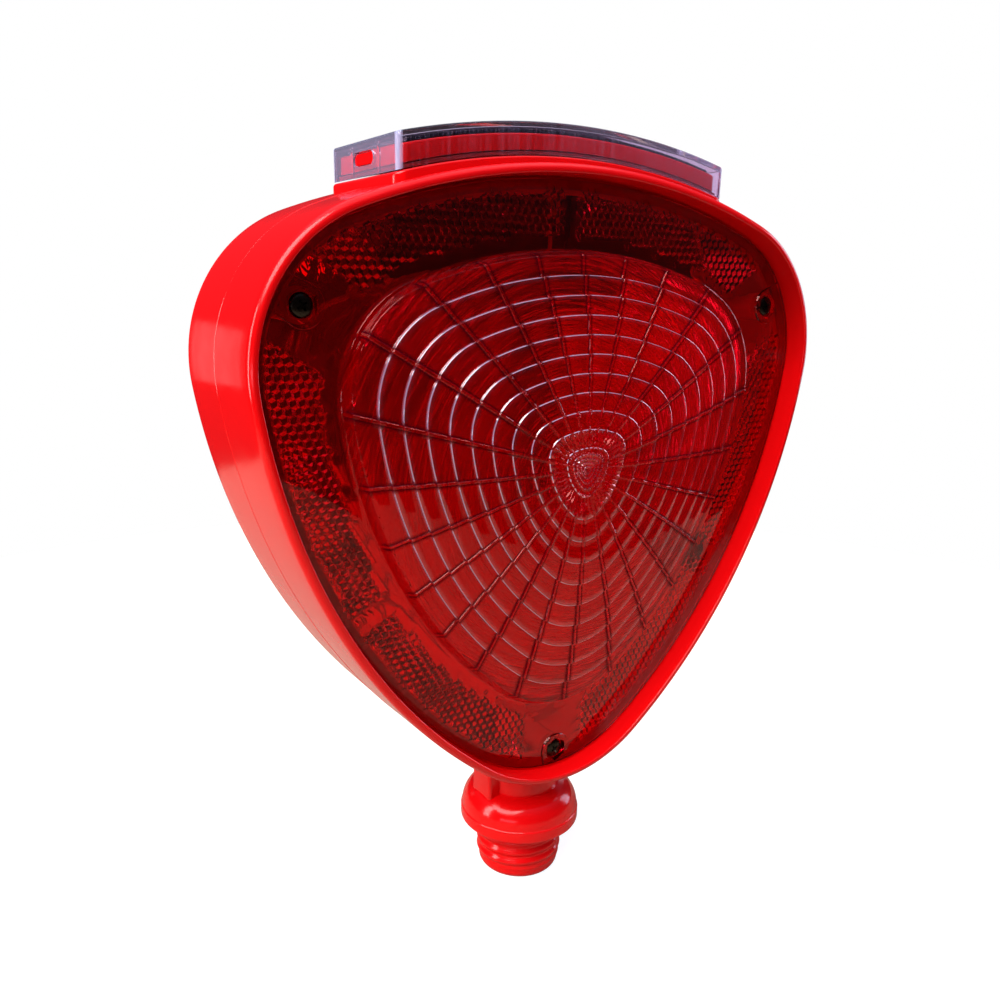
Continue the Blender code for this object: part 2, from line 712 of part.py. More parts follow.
def make_tray_screws():
    """Screws from inside the housing, up through its top wall into the tray's posts."""
    inner_arc = (TOP_RADIUS - WALL, ARCS[3][0].y + TOP_RADIUS - WALL)
    for label, side in (("tray_screw_left", -1), ("tray_screw_right", 1)):
        x = side * TRAY_SCREW_X
        seat = LENS_Z + arc_height(inner_arc, x) - TRAY_SCREW_DROP
        pan_screw(label, (x, 0, seat), (0, 0, 1), TRAY_SCREW_LENGTH)


# ------------------------------------------------------------------ battery and board
def inside(x, y, height):
    """A point in the lamp, its height measured from the lens centre."""
    return Vector((x, y, LENS_Z + height))


def cell_frame(side):
    """Frame at a cell's middle with +Z along the cell, away from the lamp's mid line."""
    angle = side * CELL_ANGLE
    centre = inside(CELL_ORBIT * math.sin(angle), 0.0, ARCS[3][0].y + CELL_ORBIT * math.cos(angle))
    ahead = side * Vector((math.cos(angle), 0.0, -math.sin(angle)))
    return Matrix.Translation(centre) @ ahead.to_track_quat("Z", "Y").to_matrix().to_4x4()


def make_cell(name, side):
    half = CELL_LENGTH / 2
    shoulder = half - CELL_NUB_HIGH
    profile = [
        (0.0, half),
        (CELL_NUB_RADIUS, half),
        (CELL_NUB_RADIUS, shoulder),
        (CELL_RADIUS - 0.0008, shoulder),
        (CELL_RADIUS, shoulder - 0.0008),
        (CELL_RADIUS, -half + 0.0006),
        (CELL_RADIUS - 0.0006, -half),
        (0.0, -half),
    ]
    turned(name, profile, "cell_sleeve", 18, cell_frame(side))


def make_holder():
    """A cradle of two half troughs that follow the housing's top, with a rib for the board."""
    troughs = []
    cuts = []
    half_long, half_wide = CRADLE_HALF
    for name, side, material in (("battery_holder", -1, "black_plastic"), ("trough_right", 1, None)):
        turn = Matrix.Rotation(side * CELL_ANGLE, 4, "Y")
        place = Matrix.Translation(cell_frame(side).translation) @ turn
        corners = ((-half_long, -half_wide, -CRADLE_DEPTH), (half_long, half_wide, 0.0))
        troughs.append(box(name, *corners, material, place))
        reach = half_long - CRADLE_END
        ends = [place @ Vector((x, 0, 0)) for x in (-reach, reach)]
        cuts.append(cylinder("cell_space_%d" % side, CELL_RADIUS + CELL_CLEARANCE, *ends, None, 18))
    rib = box("board_rib", inside(-RIB_HALF, BOARD_THICK / 2 + GAP, RIB_LEVELS[0]),
              inside(RIB_HALF, RIB_BACK, RIB_LEVELS[1]))
    combine(troughs[0], [troughs[1], rib], "UNION")
    for side in (-1, 1):
        x = side * BOARD_SCREW_X
        cuts.append(cylinder("rib_bore_%d" % side, SCREW_HOLE, inside(x, -OVERRUN, BOARD_LEVEL),
                             inside(x, RIB_BACK - 0.0008, BOARD_LEVEL), None, 10))
    combine(troughs[0], cuts, "DIFFERENCE")


def make_contact(name, side):
    """A flat contact plate square to a cell's axis, just past the end of the cell."""
    reach = CELL_LENGTH / 2 + GAP
    box(name, (-CONTACT_HALF, -CONTACT_HALF, reach), (CONTACT_HALF, CONTACT_HALF, reach + CONTACT_THICK),
        "steel", cell_frame(side))


def make_board():
    half, low, high = BOARD_BAR
    stalk_half, stalk_end = BOARD_STALK
    loop = [
        (-stalk_half, stalk_end),
        (stalk_half, stalk_end),
        (stalk_half, low),
        (half, low),
        (half, high),
        (-half, high),
        (-half, low),
        (-stalk_half, low),
    ]
    holes = [circle(SCREW_HOLE, (side * BOARD_SCREW_X, BOARD_LEVEL), 10) for side in (-1, 1)]
    plate("circuit_board", [loop] + holes, BOARD_THICK / 2, LENS_PLANE, "board")


def make_board_screws():
    for label, side in (("board_screw_left", -1), ("board_screw_right", 1)):
        seat = inside(side * BOARD_SCREW_X, BOARD_FRONT, BOARD_LEVEL)
        pan_screw(label, seat, (0, 1, 0), BOARD_SCREW_LENGTH)


def on_board(x, height, side=1):
    """Frame on the board's front (1) or back (-1), with +Z out from the board."""
    turn = Matrix.Rotation(math.radians(90 * side), 4, "X")
    return Matrix.Translation(inside(x, side * BOARD_FRONT, height)) @ turn


def make_led(name, side, height):
    """A round 5 mm light-emitting diode, standing on the board and shining at a lens."""
    profile = [(0.0, LED_HIGH)]
    for step in range(1, 4):
        turn = math.radians(30 * step)
        profile.append((LED_RADIUS * math.sin(turn), LED_HIGH - LED_RADIUS + LED_RADIUS * math.cos(turn)))
    profile += [
        (LED_RADIUS, LED_RIM_HIGH),
        (LED_RIM_RADIUS, LED_RIM_HIGH),
        (LED_RIM_RADIUS, 0.0),
        (0.0, 0.0),
    ]
    turned(name, profile, "led", 12, on_board(0.0, height, side))


def make_board_parts():
    chip_half = CHIP_SIZE / 2
    box("controller_chip", (-chip_half, -chip_half, 0.0), (chip_half, chip_half, CHIP_HIGH),
        "black_plastic", on_board(CHIP_X, BOARD_LEVEL + 0.0002))
    can = [
        (0.0, CAPACITOR_HIGH),
        (CAPACITOR_RADIUS - 0.0003, CAPACITOR_HIGH),
        (CAPACITOR_RADIUS, CAPACITOR_HIGH - 0.0004),
        (CAPACITOR_RADIUS, 0.0),
        (0.0, 0.0),
    ]
    turned("capacitor", can, "black_plastic", 14, on_board(CAPACITOR_X, BOARD_LEVEL))
    disc = [
        (0.0, PHOTOCELL_HIGH),
        (PHOTOCELL_RADIUS - 0.0002, PHOTOCELL_HIGH),
        (PHOTOCELL_RADIUS, PHOTOCELL_HIGH - 0.0004),
        (PHOTOCELL_RADIUS, 0.0),
        (0.0, 0.0),
    ]
    turned("photocell", disc, "white_ceramic", 14, on_board(0.0, PHOTOCELL_LEVEL))


# ------------------------------------------------------------------ leads
def make_panel_leads():
    """Leads from under the panel, through the tray and the housing's top, down to the board."""
    under_panel = PANEL_ARCS[0][1] - 0.0004
    for pole, side, material in (("positive", -1, "red_wire"), ("negative", 1, "black_wire")):
        x = side * PANEL_LEAD_X
        route = [
            inside(x, LEAD_HOLE_Y, under_panel),
            inside(x, LEAD_HOLE_Y, 0.0750),
            inside(x, LEAD_HOLE_Y, 0.0600),
            inside(x, LEAD_HOLE_Y + 0.0015, 0.0530),
            inside(x, -0.0050, BOARD_LEVEL + 0.0010),
            inside(x, BOARD_FRONT - LEAD_RADIUS, BOARD_LEVEL),
        ]
        wire("panel_lead_" + pole, route, LEAD_RADIUS, material)


def make_battery_leads():
    """Leads from the contacts at the outer ends of the cells, in below the cradle to the board."""
    for pole, side, material in (("positive", -1, "red_wire"), ("negative", 1, "black_wire")):
        start = cell_frame(side) @ Vector((0.0, 0.0, CELL_LENGTH / 2 + 0.0032))
        route = [
            start,
            start + Vector((-side * 0.0003, 0.0, -0.0060)),
            start + Vector((-side * 0.0018, -0.0006, -0.0110)),
            inside(side * 0.0480, -0.0020, 0.0462),
            inside(side * 0.0380, -0.0030, 0.0450),
            inside(side * 0.0290, -0.0026, 0.0458),
            inside(side * 0.0250, BOARD_FRONT - 0.0008, 0.0470),
        ]
        wire("battery_lead_" + pole, route, LEAD_RADIUS, material)


def make_switch_leads():
    """Leads from the back of the switch, up the right-hand side to the back of the board."""
    back = along_switch(-WALL - 0.0006 - SWITCH_BODY_DEPTH)
    for letter, shift, material in (("a", 0.0020, "black_wire"), ("b", -0.0020, "red_wire")):
        start = back + Vector((-0.0004, shift, 0.0002))
        route = [
            start,
            start + Vector((-0.0030, 0.0, 0.0030)),
            inside(0.0590, shift + 0.0060, -0.0080),
            inside(0.0660, shift + 0.0080, 0.0180),
            inside(0.0560, shift + 0.0080, 0.0380),
            inside(0.0380, shift + 0.0070, 0.0450),
            inside(0.0300, shift + 0.0040, 0.0460),
            inside(0.0258, LEAD_RADIUS - BOARD_FRONT, 0.0462 + shift / 2),
        ]
        wire("switch_lead_" + letter, route, LEAD_RADIUS, material)


# ------------------------------------------------------------------ push switch
def make_switch():
    """Washer, threaded-on bezel, sealed body and button, on the wall's frame."""
    washer_top = GAP + WASHER_THICK
    bezel_foot = washer_top + GAP
    bezel_top = bezel_foot + BEZEL_THICK
    hole = SWITCH_BARREL + GAP
    ring = [
        (hole, washer_top),
        (BEZEL_RADIUS, washer_top),
        (BEZEL_RADIUS, GAP),
        (hole, GAP),
        (hole, washer_top),
    ]
    turned("switch_washer", ring, "rubber", 20, SWITCH)
    hole = BUTTON_RADIUS + GAP
    bezel = [
        (hole, bezel_top),
        (BEZEL_RADIUS - BEZEL_EDGE, bezel_top),
        (BEZEL_RADIUS, bezel_top - BEZEL_EDGE),
        (BEZEL_RADIUS, bezel_foot),
        (hole, bezel_foot),
        (hole, bezel_top),
    ]
    turned("switch_bezel", bezel, "black_plastic", 20, SWITCH)
    lip = bezel_foot - GAP
    body_top = -WALL - GAP - 0.0004
    body = [
        (0.0, body_top - SWITCH_FLOOR),
        (SWITCH_BORE, body_top - SWITCH_FLOOR),
        (SWITCH_BORE, lip),
        (SWITCH_BARREL, lip),
        (SWITCH_BARREL, body_top),
        (SWITCH_BODY_HALF, body_top),
        (SWITCH_BODY_HALF, body_top - SWITCH_BODY_DEPTH),
        (0.0, body_top - SWITCH_BODY_DEPTH),
    ]
    turned("switch_body", body, "black_plastic", 20, SWITCH)
    collar_top = lip - GAP
    head = bezel_top + BUTTON_STAND
    button = [
        (0.0, head),
        (BUTTON_RADIUS * 0.7, head - 0.0002),
        (BUTTON_RADIUS, head - 0.0009),
        (BUTTON_RADIUS, collar_top),
        (BUTTON_COLLAR, collar_top),
        (BUTTON_COLLAR, collar_top - COLLAR_THICK),
        (0.0, collar_top - COLLAR_THICK),
    ]
    turned("switch_button", button, "red_plastic", 20, SWITCH)


def build():
    make_housing()
    for label, side, turn in (("front", 1, Matrix()), ("rear", -1, REAR_TURN)):
        make_lens(label + "_lens", turn)
        make_gasket(label + "_gasket", side)
        make_lens_screws(label + "_lens_screw", side)
        for place, height in (("upper", LED_PITCH), ("middle", 0.0), ("lower", -LED_PITCH)):
            make_led("%s_led_%s" % (label, place), side, height)
    make_cover()
    make_tray()
    make_tray_seal()
    make_tray_screws()
    crescent("solar_panel", PANEL_ARCS, PANEL_HALF, 0.0, "solar_cell")
    for label, side in (("left", -1), ("right", 1)):
        make_cell("battery_cell_" + label, side)
        make_contact("contact_" + label, side)
    make_holder()
    make_board()
    make_board_screws()
    make_board_parts()
    make_panel_leads()
    make_battery_leads()
    make_switch_leads()
    make_switch()


build()
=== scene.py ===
"""Looks of the double-lens solar warning lamp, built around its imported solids.

Units are metres and +Z is up. The front lens faces -Y. Shapes in the lens plane are worked out in
millimetres about the lens centre: x across, z up, and depth forward from the mid plane.
"""

import json
import math

import bmesh
import bpy
import numpy as np
from mathutils import Matrix, Vector
from mathutils.geometry import delaunay_2d_cdt


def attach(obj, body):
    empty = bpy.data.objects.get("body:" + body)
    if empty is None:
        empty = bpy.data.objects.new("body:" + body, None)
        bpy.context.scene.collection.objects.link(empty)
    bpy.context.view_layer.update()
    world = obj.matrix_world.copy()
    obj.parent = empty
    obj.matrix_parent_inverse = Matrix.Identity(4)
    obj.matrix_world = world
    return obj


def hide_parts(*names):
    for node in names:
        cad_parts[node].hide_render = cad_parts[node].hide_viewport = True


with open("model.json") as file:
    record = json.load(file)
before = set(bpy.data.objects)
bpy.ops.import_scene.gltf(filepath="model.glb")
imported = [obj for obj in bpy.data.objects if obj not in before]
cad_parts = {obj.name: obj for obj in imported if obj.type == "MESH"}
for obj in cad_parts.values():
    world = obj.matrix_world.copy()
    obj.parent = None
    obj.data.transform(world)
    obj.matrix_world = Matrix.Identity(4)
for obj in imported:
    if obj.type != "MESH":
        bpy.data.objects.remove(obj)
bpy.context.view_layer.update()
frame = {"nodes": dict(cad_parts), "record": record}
MM = 0.001

# ---------------------------------------- driving dimensions, in millimetres
LENS_Z = 124.8
LOW_CENTRE, LOW_RADIUS = (0.0, -53.6), 47.4
HIGH_CENTRE, HIGH_RADIUS = (52.7, 28.2), 41.8
TOP_RADIUS = 195.6
SIDE_RADIUS = 173.5
HALF_DEPTH = 24.5
LEDGE_FACE, LEDGE_BACK, LEDGE_WIDTH = 14.3, 11.9, 7.5

LENS_FACE = 18.4
LENS_THICK, DOME_THICK = 2.4, 2.3
EDGE_ROUND, BACK_ROUND = 0.3, 0.2
LENS_CLEARANCE = 3.6
DOME_SHARE = 0.772
DOME_RISE = 9.9
DOME_FALL = 6.9
RING_COUNT = 11
RING_FIRST, RING_PITCH = 0.970, 0.0868
RIB_COUNT = 24
RIB_HALF_WIDTH = 0.52
RIB_HEIGHT = 0.30
# Share of a crest's coat and painted lilac highlight kept on the ribs.
CREST_ON_RIB = 0.15
TOOTH_COUNT, TOOTH_HEIGHT = 48, 0.16
SECTOR_SWELL = 0.38

SCREW_CIRCLE, SCREW_DROP = 90.7, 1.5
HEX_ACROSS, HEX_DEPTH = 7.0, 1.4
TONGUE_RADIUS, TONGUE_RISE = 5.5, 0.5
TONGUE_MARGIN, TONGUE_BEVEL, TONGUE_TAPER = 0.8, 0.3, 0.9
SCREW_HOLE = 1.8
CELL_PITCH, CELL_DEPTH = 2.3, 0.85
CELL_OFF_DOME, CELL_OFF_EDGE, CELL_GAP, SCREW_PATCH = 2.6, 1.8, 2.2, (9.6, 14.0)

NECK_HALF_WIDTH, NECK_HALF_DEPTH = 16.2, 5.2
COLUMN_RADIUS, FLANGE_RADIUS, FLANGE_ROUND = 13.0, 20.1, 0.45
THREAD_RADIUS, THREAD_CORE, THREAD_PITCH = 14.5, 13.7, 3.6
STEM_LENGTH, STEM_BORE, BORE_TOP = 18.2, 8.5, 10.0
STEM_TIP, TIP_TAPER = 2.8, 2.3
FLANGE_EDGE, BELL_TOP, NECK_TOP = 4.2, 12.7, 26.6

PEDESTAL_ARC, PEDESTAL_HALF = (211.0, 80.9), (54.5, 19.2)
FOOT_ARC, COVER_ARC, COVER_HALF = (211.0, 81.2), (234.2, 88.8), (53.6, 18.7)
TRAY_LOW, TRAY_HIGH, TRAY_HALF = (212.3, 82.4), (228.0, 86.2), (51.8, 17.0)
PANEL_LOW, PANEL_HIGH, PANEL_HALF = (228.3, 86.5), (229.4, 87.25), (50.0, 15.5)

SWITCH_ANGLE, SWITCH_HOLE = -30.0, 6.5
BOSS_RADIUS, SCREW_BORE_START = 4.4, 1.2


# ---------------------------------------- materials
def node(tree, kind, **inputs):
    """A shader node with some inputs set, each by a value or by another node's output socket.

    An input is named, with _ for a space, or numbered as in _0.
    """
    item = tree.nodes.new(kind)
    for name, value in inputs.items():
        socket = item.inputs[int(name[1:])] if name[0] == "_" else item.inputs[name.replace("_", " ")]
        if isinstance(value, bpy.types.NodeSocket):
            tree.links.new(value, socket)
        else:
            socket.default_value = value
    return item


def new_material(name):
    material = bpy.data.materials.new(name)
    material.use_nodes = True
    tree = material.node_tree
    tree.nodes.clear()
    return material, tree


def finish_material(material, tree, shader, colour):
    node(tree, "ShaderNodeOutputMaterial", Surface=shader)
    material.diffuse_color = (*colour, 1.0)
    return material


def object_place(tree):
    return tree.nodes.new("ShaderNodeTexCoord").outputs["Object"]


def noise(tree, scale, detail=3.0, rough=0.55, vector=None):
    """Soft noise at a place: by default the object's own coordinates."""
    item = node(tree, "ShaderNodeTexNoise", Scale=scale, Detail=detail, Roughness=rough,
                Vector=vector or object_place(tree))
    return item.outputs["Fac"]


def remap(tree, value, low, high, from_low=0.3, from_high=0.7):
    """A value moved from one range to another, and kept inside it; noise mostly lies in 0.3 to 0.7."""
    item = node(tree, "ShaderNodeMapRange", Value=value, From_Min=from_low, From_Max=from_high,
                To_Min=low, To_Max=high)
    return item.outputs["Result"]


def mix_colour(tree, factor, first, second):
    item = node(tree, "ShaderNodeMix", _0=factor, _6=(*first, 1.0), _7=(*second, 1.0))
    item.data_type = "RGBA"
    return item.outputs[2]


def mix_shader(tree, factor, first, second):
    return node(tree, "ShaderNodeMixShader", Fac=factor, _1=first, _2=second).outputs[0]


def by_ray(tree, kind, usual, special):
    """One shader for most rays, and another for this kind of ray."""
    return mix_shader(tree, tree.nodes.new("ShaderNodeLightPath").outputs[kind], usual, special)


def bump(tree, height, strength, distance):
    item = node(tree, "ShaderNodeBump", Strength=strength, Distance=distance, Height=height)
    return item.outputs["Normal"]


def plastic(name, colour, rough, variation=0.06, coat=0.0, grain=None, specular=0.5):
    """Moulded plastic: slight drift of colour and gloss, and a fine surface grain."""
    material, tree = new_material(name)
    darker = [c * (1 - variation) for c in colour]
    lighter = [min(1.0, c * (1 + variation)) for c in colour]
    base = mix_colour(tree, noise(tree, 45.0), darker, lighter)
    shader = principled(tree, 160.0, rough * 0.8, rough * 1.25, Base_Color=base,
                        Specular_IOR_Level=specular, Coat_Weight=coat, Coat_Roughness=0.04)
    if grain:
        scale, depth = grain
        tree.links.new(bump(tree, noise(tree, scale, 4.0), depth, 0.0004), shader.inputs["Normal"])
    return finish_material(material, tree, shader.outputs[0], colour)


def principled(tree, scale, low, high, **inputs):
    """Main shader, with a roughness that drifts between two values."""
    gloss = remap(tree, noise(tree, scale, 4.0), low, high)
    return node(tree, "ShaderNodeBsdfPrincipled", Roughness=gloss, **inputs)


def attribute(tree, name):
    """A value stored on the mesh: see store_values."""
    item = tree.nodes.new("ShaderNodeAttribute")
    item.attribute_name = name
    return item.outputs["Fac"]


def step(tree, value, edge, soft=0.0002):
    """0 below an edge and 1 above it."""
    return remap(tree, value, 0.0, 1.0, edge - soft, edge + soft)


def maths(tree, operation, first, second):
    item = node(tree, "ShaderNodeMath", _0=first, _1=second)
    item.operation = operation
    return item.outputs[0]


def lens_material(name, colour, rough, streaks=0.0, see=(0.5, 0.01, 0.01), crests=0.0, specular=0.5,
                  haze=None, tint=(1.0, 1.0, 1.0)):
    """Clear coloured polycarbonate. Lamps shine through it, tinted, so the inside is lit.

    streaks: strength of the fine lines that run aslant round the dome's inside.
    haze: the least and the most milkiness, and its colour.
    crests: the coat's IOR on the ring crests. It also paints a lilac highlight along the crests and a
    near-black shade on the ribs' feet, as diffuse veils.
    """
    material, tree = new_material(name)
    tone = mix_colour(tree, noise(tree, 60.0), [c * 0.97 for c in colour], colour)
    glass = principled(tree, 120.0, rough * 0.6, rough * 1.5, Base_Color=tone, IOR=CLEAR_IOR,
                       Transmission_Weight=1.0, Specular_IOR_Level=specular, Specular_Tint=(*tint, 1.0))
    lines = None
    if streaks:
        turn = attribute(tree, "turn")
        ring = maths(tree, "ADD", attribute(tree, "ring"), maths(tree, "MULTIPLY", turn, 2.2))
        place = node(tree, "ShaderNodeCombineXYZ", X=ring, Y=turn)
        lines = noise(tree, 1.0, 2.0, 0.5, place.outputs[0])
        tree.links.new(bump(tree, lines, streaks, 0.0006), glass.inputs["Normal"])
    body = glass.outputs[0]
    if haze:
        low, high, veil_tint = haze
        amount = remap(tree, lines if lines else noise(tree, 200.0), low, high)
        body = veiled(tree, body, amount, veil_tint)
    # The crest veil paints a lilac highlight on the ring crests; the coat there adds real gloss.
    if crests:
        # The first veil paints shade, near black, on the ribs' feet.
        for label, power, most, veil_tint in (("rib_shade", 1.6, 0.92, (0.06, 0.0, 0.003)),
                                         ("crest", 2.0, 0.38, (0.66, 0.52, 0.80))):
            amount = maths(tree, "MULTIPLY", maths(tree, "POWER", attribute(tree, label), power), most)
            body = veiled(tree, body, amount, veil_tint)
        tree.links.new(attribute(tree, "crest"), glass.inputs["Coat Weight"])
        glass.inputs["Coat IOR"].default_value = crests
        glass.inputs["Coat Roughness"].default_value = 0.05
    return finish_material(material, tree, lamp_lit(tree, body, see), colour)


def veiled(tree, body, amount, tint):
    """A diffuse veil in a clear body: real milkiness for haze, painted highlight on the ring crests and the
    cover's edges, and painted shade on the ribs' feet.
    """
    veil_bsdf = node(tree, "ShaderNodeBsdfDiffuse", Color=(*tint, 1.0))
    return mix_shader(tree, amount, body, veil_bsdf.outputs[0])


def lamp_lit(tree, body, see):
    """Let light through a clear body, tinted, without a hard shadow."""
    clear = node(tree, "ShaderNodeBsdfTransparent", Color=(*see, 1.0))
    return by_ray(tree, "Is Shadow Ray", body, clear.outputs[0])


def cover_material(name, colour, see):
    """Clear cover with faint upright flow lines and a haze that grows towards +X; its end walls and corner
    edges have a painted highlight as lilac milkiness.
    """
    material, tree = new_material(name)
    glass = principled(tree, 120.0, 0.01, 0.04, Base_Color=(*colour, 1.0), IOR=CLEAR_IOR,
                       Transmission_Weight=1.0)
    place = node(tree, "ShaderNodeSeparateXYZ", _0=object_place(tree))
    across, along = (maths(tree, "ABSOLUTE", place.outputs[axis], 0.0) for axis in ("X", "Y"))
    end = step(tree, across, (COVER_HALF[0] - 0.5) * MM)
    front = step(tree, along, (COVER_HALF[1] - 1.5) * MM)
    corner = maths(tree, "MULTIPLY", step(tree, across, (COVER_HALF[0] - 1.3) * MM), front)
    flow = node(tree, "ShaderNodeCombineXYZ", X=maths(tree, "MULTIPLY", place.outputs["X"], 1500.0),
                Y=maths(tree, "MULTIPLY", place.outputs["Z"], 30.0))
    amount = remap(tree, noise(tree, 1.0, 2.0, 0.5, flow.outputs[0]), 0.0, 0.05, 0.45, 0.75)
    # Painted highlight: extra lilac milkiness on the end walls and corner edges stands in for their bright
    # reflections. The first term makes the haze grow towards +X.
    for more in (remap(tree, place.outputs["X"], -0.01, 0.05, -0.03, 0.05),
                 maths(tree, "MULTIPLY", end, 0.16), maths(tree, "MULTIPLY", corner, 0.42)):
        amount = maths(tree, "ADD", amount, more)
    body = veiled(tree, glass.outputs[0], amount, (0.55, 0.54, 0.80))
    return finish_material(material, tree, lamp_lit(tree, body, see), colour)


def solar_material(name, colour):
    """Dark laminate with the fine collector lines and the wider seams of its cells."""
    material, tree = new_material(name)
    place = node(tree, "ShaderNodeSeparateXYZ", _0=object_place(tree))
    marks = None
    for axis, pitch, width in (("X", 12.5, 0.35), ("X", 1.25, 0.10), ("Y", 7.5, 0.45)):
        phase = maths(tree, "FRACT", maths(tree, "MULTIPLY", place.outputs[axis], 1 / (pitch * MM)), 0.0)
        line = maths(tree, "LESS_THAN", phase, width / pitch)
        marks = maths(tree, "MAXIMUM", marks, line) if marks else line
    base = mix_colour(tree, marks, colour, (0.10, 0.10, 0.12))
    shader = principled(tree, 160.0, 0.10, 0.16, Base_Color=base)
    return finish_material(material, tree, shader.outputs[0], colour)


def metal(name, colour, rough):
    """Plated metal with a fine grain."""
    material, tree = new_material(name)
    tone = mix_colour(tree, noise(tree, 300.0), [c * 0.8 for c in colour], colour)
    shader = principled(tree, 900.0, rough * 0.7, rough * 1.4, Base_Color=tone, Metallic=1.0)
    tree.links.new(bump(tree, noise(tree, 2500.0), 0.15, 0.0001), shader.inputs["Normal"])
    return finish_material(material, tree, shader.outputs[0], colour)


CLEAR_IOR = 1.5
RED = (0.70, 0.0018, 0.003)
LENS_RED = (0.90, 0.003, 0.014)
MATERIALS = {
    "red": plastic("red_plastic", RED, 0.15, 0.04, grain=(420.0, 0.03), specular=0.28),
    # The outer lens carries the painted crest highlight and the painted shade on the ribs' feet.
    "red_lens": lens_material("red_lens_outer", LENS_RED, 0.02, crests=3.6, specular=0.3,
                              tint=(0.9, 0.40, 0.36)),
    "red_lens_inner": lens_material("red_lens_inner", LENS_RED, 0.15, streaks=1.0,
                                    haze=(0.0, 0.50, (0.58, 0.0, 0.034))),
    "red_lens_cells": lens_material("red_lens_cells", LENS_RED, 0.02, haze=(0.03, 0.06, (0.50, 0.0, 0.004))),
    "clear": cover_material("clear_cover", (0.78, 0.66, 0.74), (0.58, 0.50, 0.56)),
    "rubber": plastic("black_rubber", (0.02, 0.02, 0.02), 0.7, 0.2, grain=(700.0, 0.2)),
    "seal_red": plastic("red_silicone", (0.30, 0.004, 0.005), 0.5, 0.1),
    "steel": metal("plated_steel", (0.45, 0.44, 0.42), 0.3),
    "dark_steel": metal("blackened_steel", (0.035, 0.028, 0.02), 0.25),
    "black_plastic": plastic("black_plastic", (0.018, 0.018, 0.02), 0.4, 0.2, grain=(500.0, 0.15)),
    "solar_cell": solar_material("solar_cell", (0.005, 0.006, 0.016)),
    "board_green": plastic("solder_mask", (0.02, 0.16, 0.05), 0.35, 0.15, 0.3, (900.0, 0.1)),
    "led_red": lens_material("led_epoxy", (0.9, 0.10, 0.08), 0.05, see=(0.8, 0.1, 0.1)),
    "cell_sleeve": plastic("cell_sleeve", (0.05, 0.20, 0.36), 0.3, 0.1, 0.3),
    "ceramic": plastic("ceramic", (0.72, 0.71, 0.66), 0.4, 0.05),
    "wire_red": plastic("wire_red", (0.50, 0.01, 0.01), 0.4, 0.1),
    "wire_black": plastic("wire_black", (0.02, 0.02, 0.02), 0.4, 0.2),
}


# ---------------------------------------- meshes and pieces
def weld(mesh, distance, dissolve=0.0):
    """Join the points closer than a distance in metres, and turn the faces to point out."""
    shape = bmesh.new()
    shape.from_mesh(mesh)
    bmesh.ops.remove_doubles(shape, verts=shape.verts, dist=distance)
    if dissolve:
        bmesh.ops.dissolve_degenerate(shape, dist=dissolve, edges=shape.edges)
    bmesh.ops.recalc_face_normals(shape, faces=shape.faces)
    if shape.calc_volume(signed=True) < 0:
        bmesh.ops.reverse_faces(shape, faces=shape.faces)
    shape.to_mesh(mesh)
    shape.free()


def to_mesh(name, points, faces):
    """A welded mesh from points in metres."""
    mesh = bpy.data.meshes.new(name)
    mesh.from_pydata([tuple(p) for p in points], [], faces)
    weld(mesh, 2e-6, 1e-7)
    return mesh


def new_object(name, data):
    item = bpy.data.objects.new(name, data)
    bpy.context.scene.collection.objects.link(item)
    return item


def piece(item, slot, node_name, materials=None, sharp=32):
    """Give an object its materials and smooth shading, put it under the lamp's body, and hide the CAD node
    that it stands in for.
    """
    if item.data.materials:  # clearing an empty list would still reset the faces' material indices
        item.data.materials.clear()
    for label in materials or (slot,):
        item.data.materials.append(MATERIALS[label])
    item.data.shade_smooth()
    item.data.set_sharp_from_angle(angle=math.radians(sharp))
    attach(item, "lamp")
    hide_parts(node_name)


def band(first, second, count):
    """Quads between two loops of equal length whose points start at these indices."""
    pairs = [(i, (i + 1) % count) for i in range(count)]
    return [(first + i, first + j, second + j, second + i) for i, j in pairs]


def loft(name, loops, ring=False):
    """An object skinned over loops of equal length: joined end to start as a ring, or else capped."""
    count, last = len(loops[0]), len(loops) - 1
    points = [p for loop in loops for p in loop]
    faces = []
    for k in range(last):
        faces += band(k * count, (k + 1) * count, count)
    if ring:
        faces += band(last * count, 0, count)
    else:
        faces += [tuple(range(count)), tuple(range(last * count, len(points)))]
    return new_object(name, to_mesh(name, points, faces))


def circle(radius, z, turns):
    return [Vector((radius * math.cos(t), radius * math.sin(t), z)) for t in turns]


def full_turn(steps):
    return [2 * math.pi * k / steps for k in range(steps)]


def turned(name, profile, steps, place):
    """A body of revolution about Z from (radius, height) pairs in millimetres."""
    turns = full_turn(steps)
    loops = [[place @ p * MM for p in circle(radius, height, turns)] for radius, height in profile]
    return loft(name, loops)


def combine(target, tools, operation):
    """Apply Boolean operations and drop the tools."""
    for tool in tools:
        change = target.modifiers.new(tool.name, "BOOLEAN")
        change.operation = operation
        change.object = tool
        change.solver = "EXACT"
    bpy.context.view_layer.update()
    graph = bpy.context.evaluated_depsgraph_get()
    mesh = bpy.data.meshes.new_from_object(target.evaluated_get(graph))
    target.modifiers.clear()
    target.data = mesh
    for tool in tools:
        bpy.data.objects.remove(tool)


# ---------------------------------------- the lamp's outline
def side_arc():
    """Centre of the side arc, which touches both corner circles."""
    low, high = Vector(LOW_CENTRE), Vector(HIGH_CENTRE)
    reach_a, reach_b = SIDE_RADIUS - LOW_RADIUS, SIDE_RADIUS - HIGH_RADIUS
    span = (high - low).length
    along = (reach_a ** 2 - reach_b ** 2 + span ** 2) / (2 * span)
    ahead = (high - low) / span
    return low + along * ahead + math.sqrt(reach_a ** 2 - along ** 2) * Vector((-ahead.y, ahead.x))


def heading(centre, corner):
    return math.atan2(corner[1] - centre[1], corner[0] - centre[0])


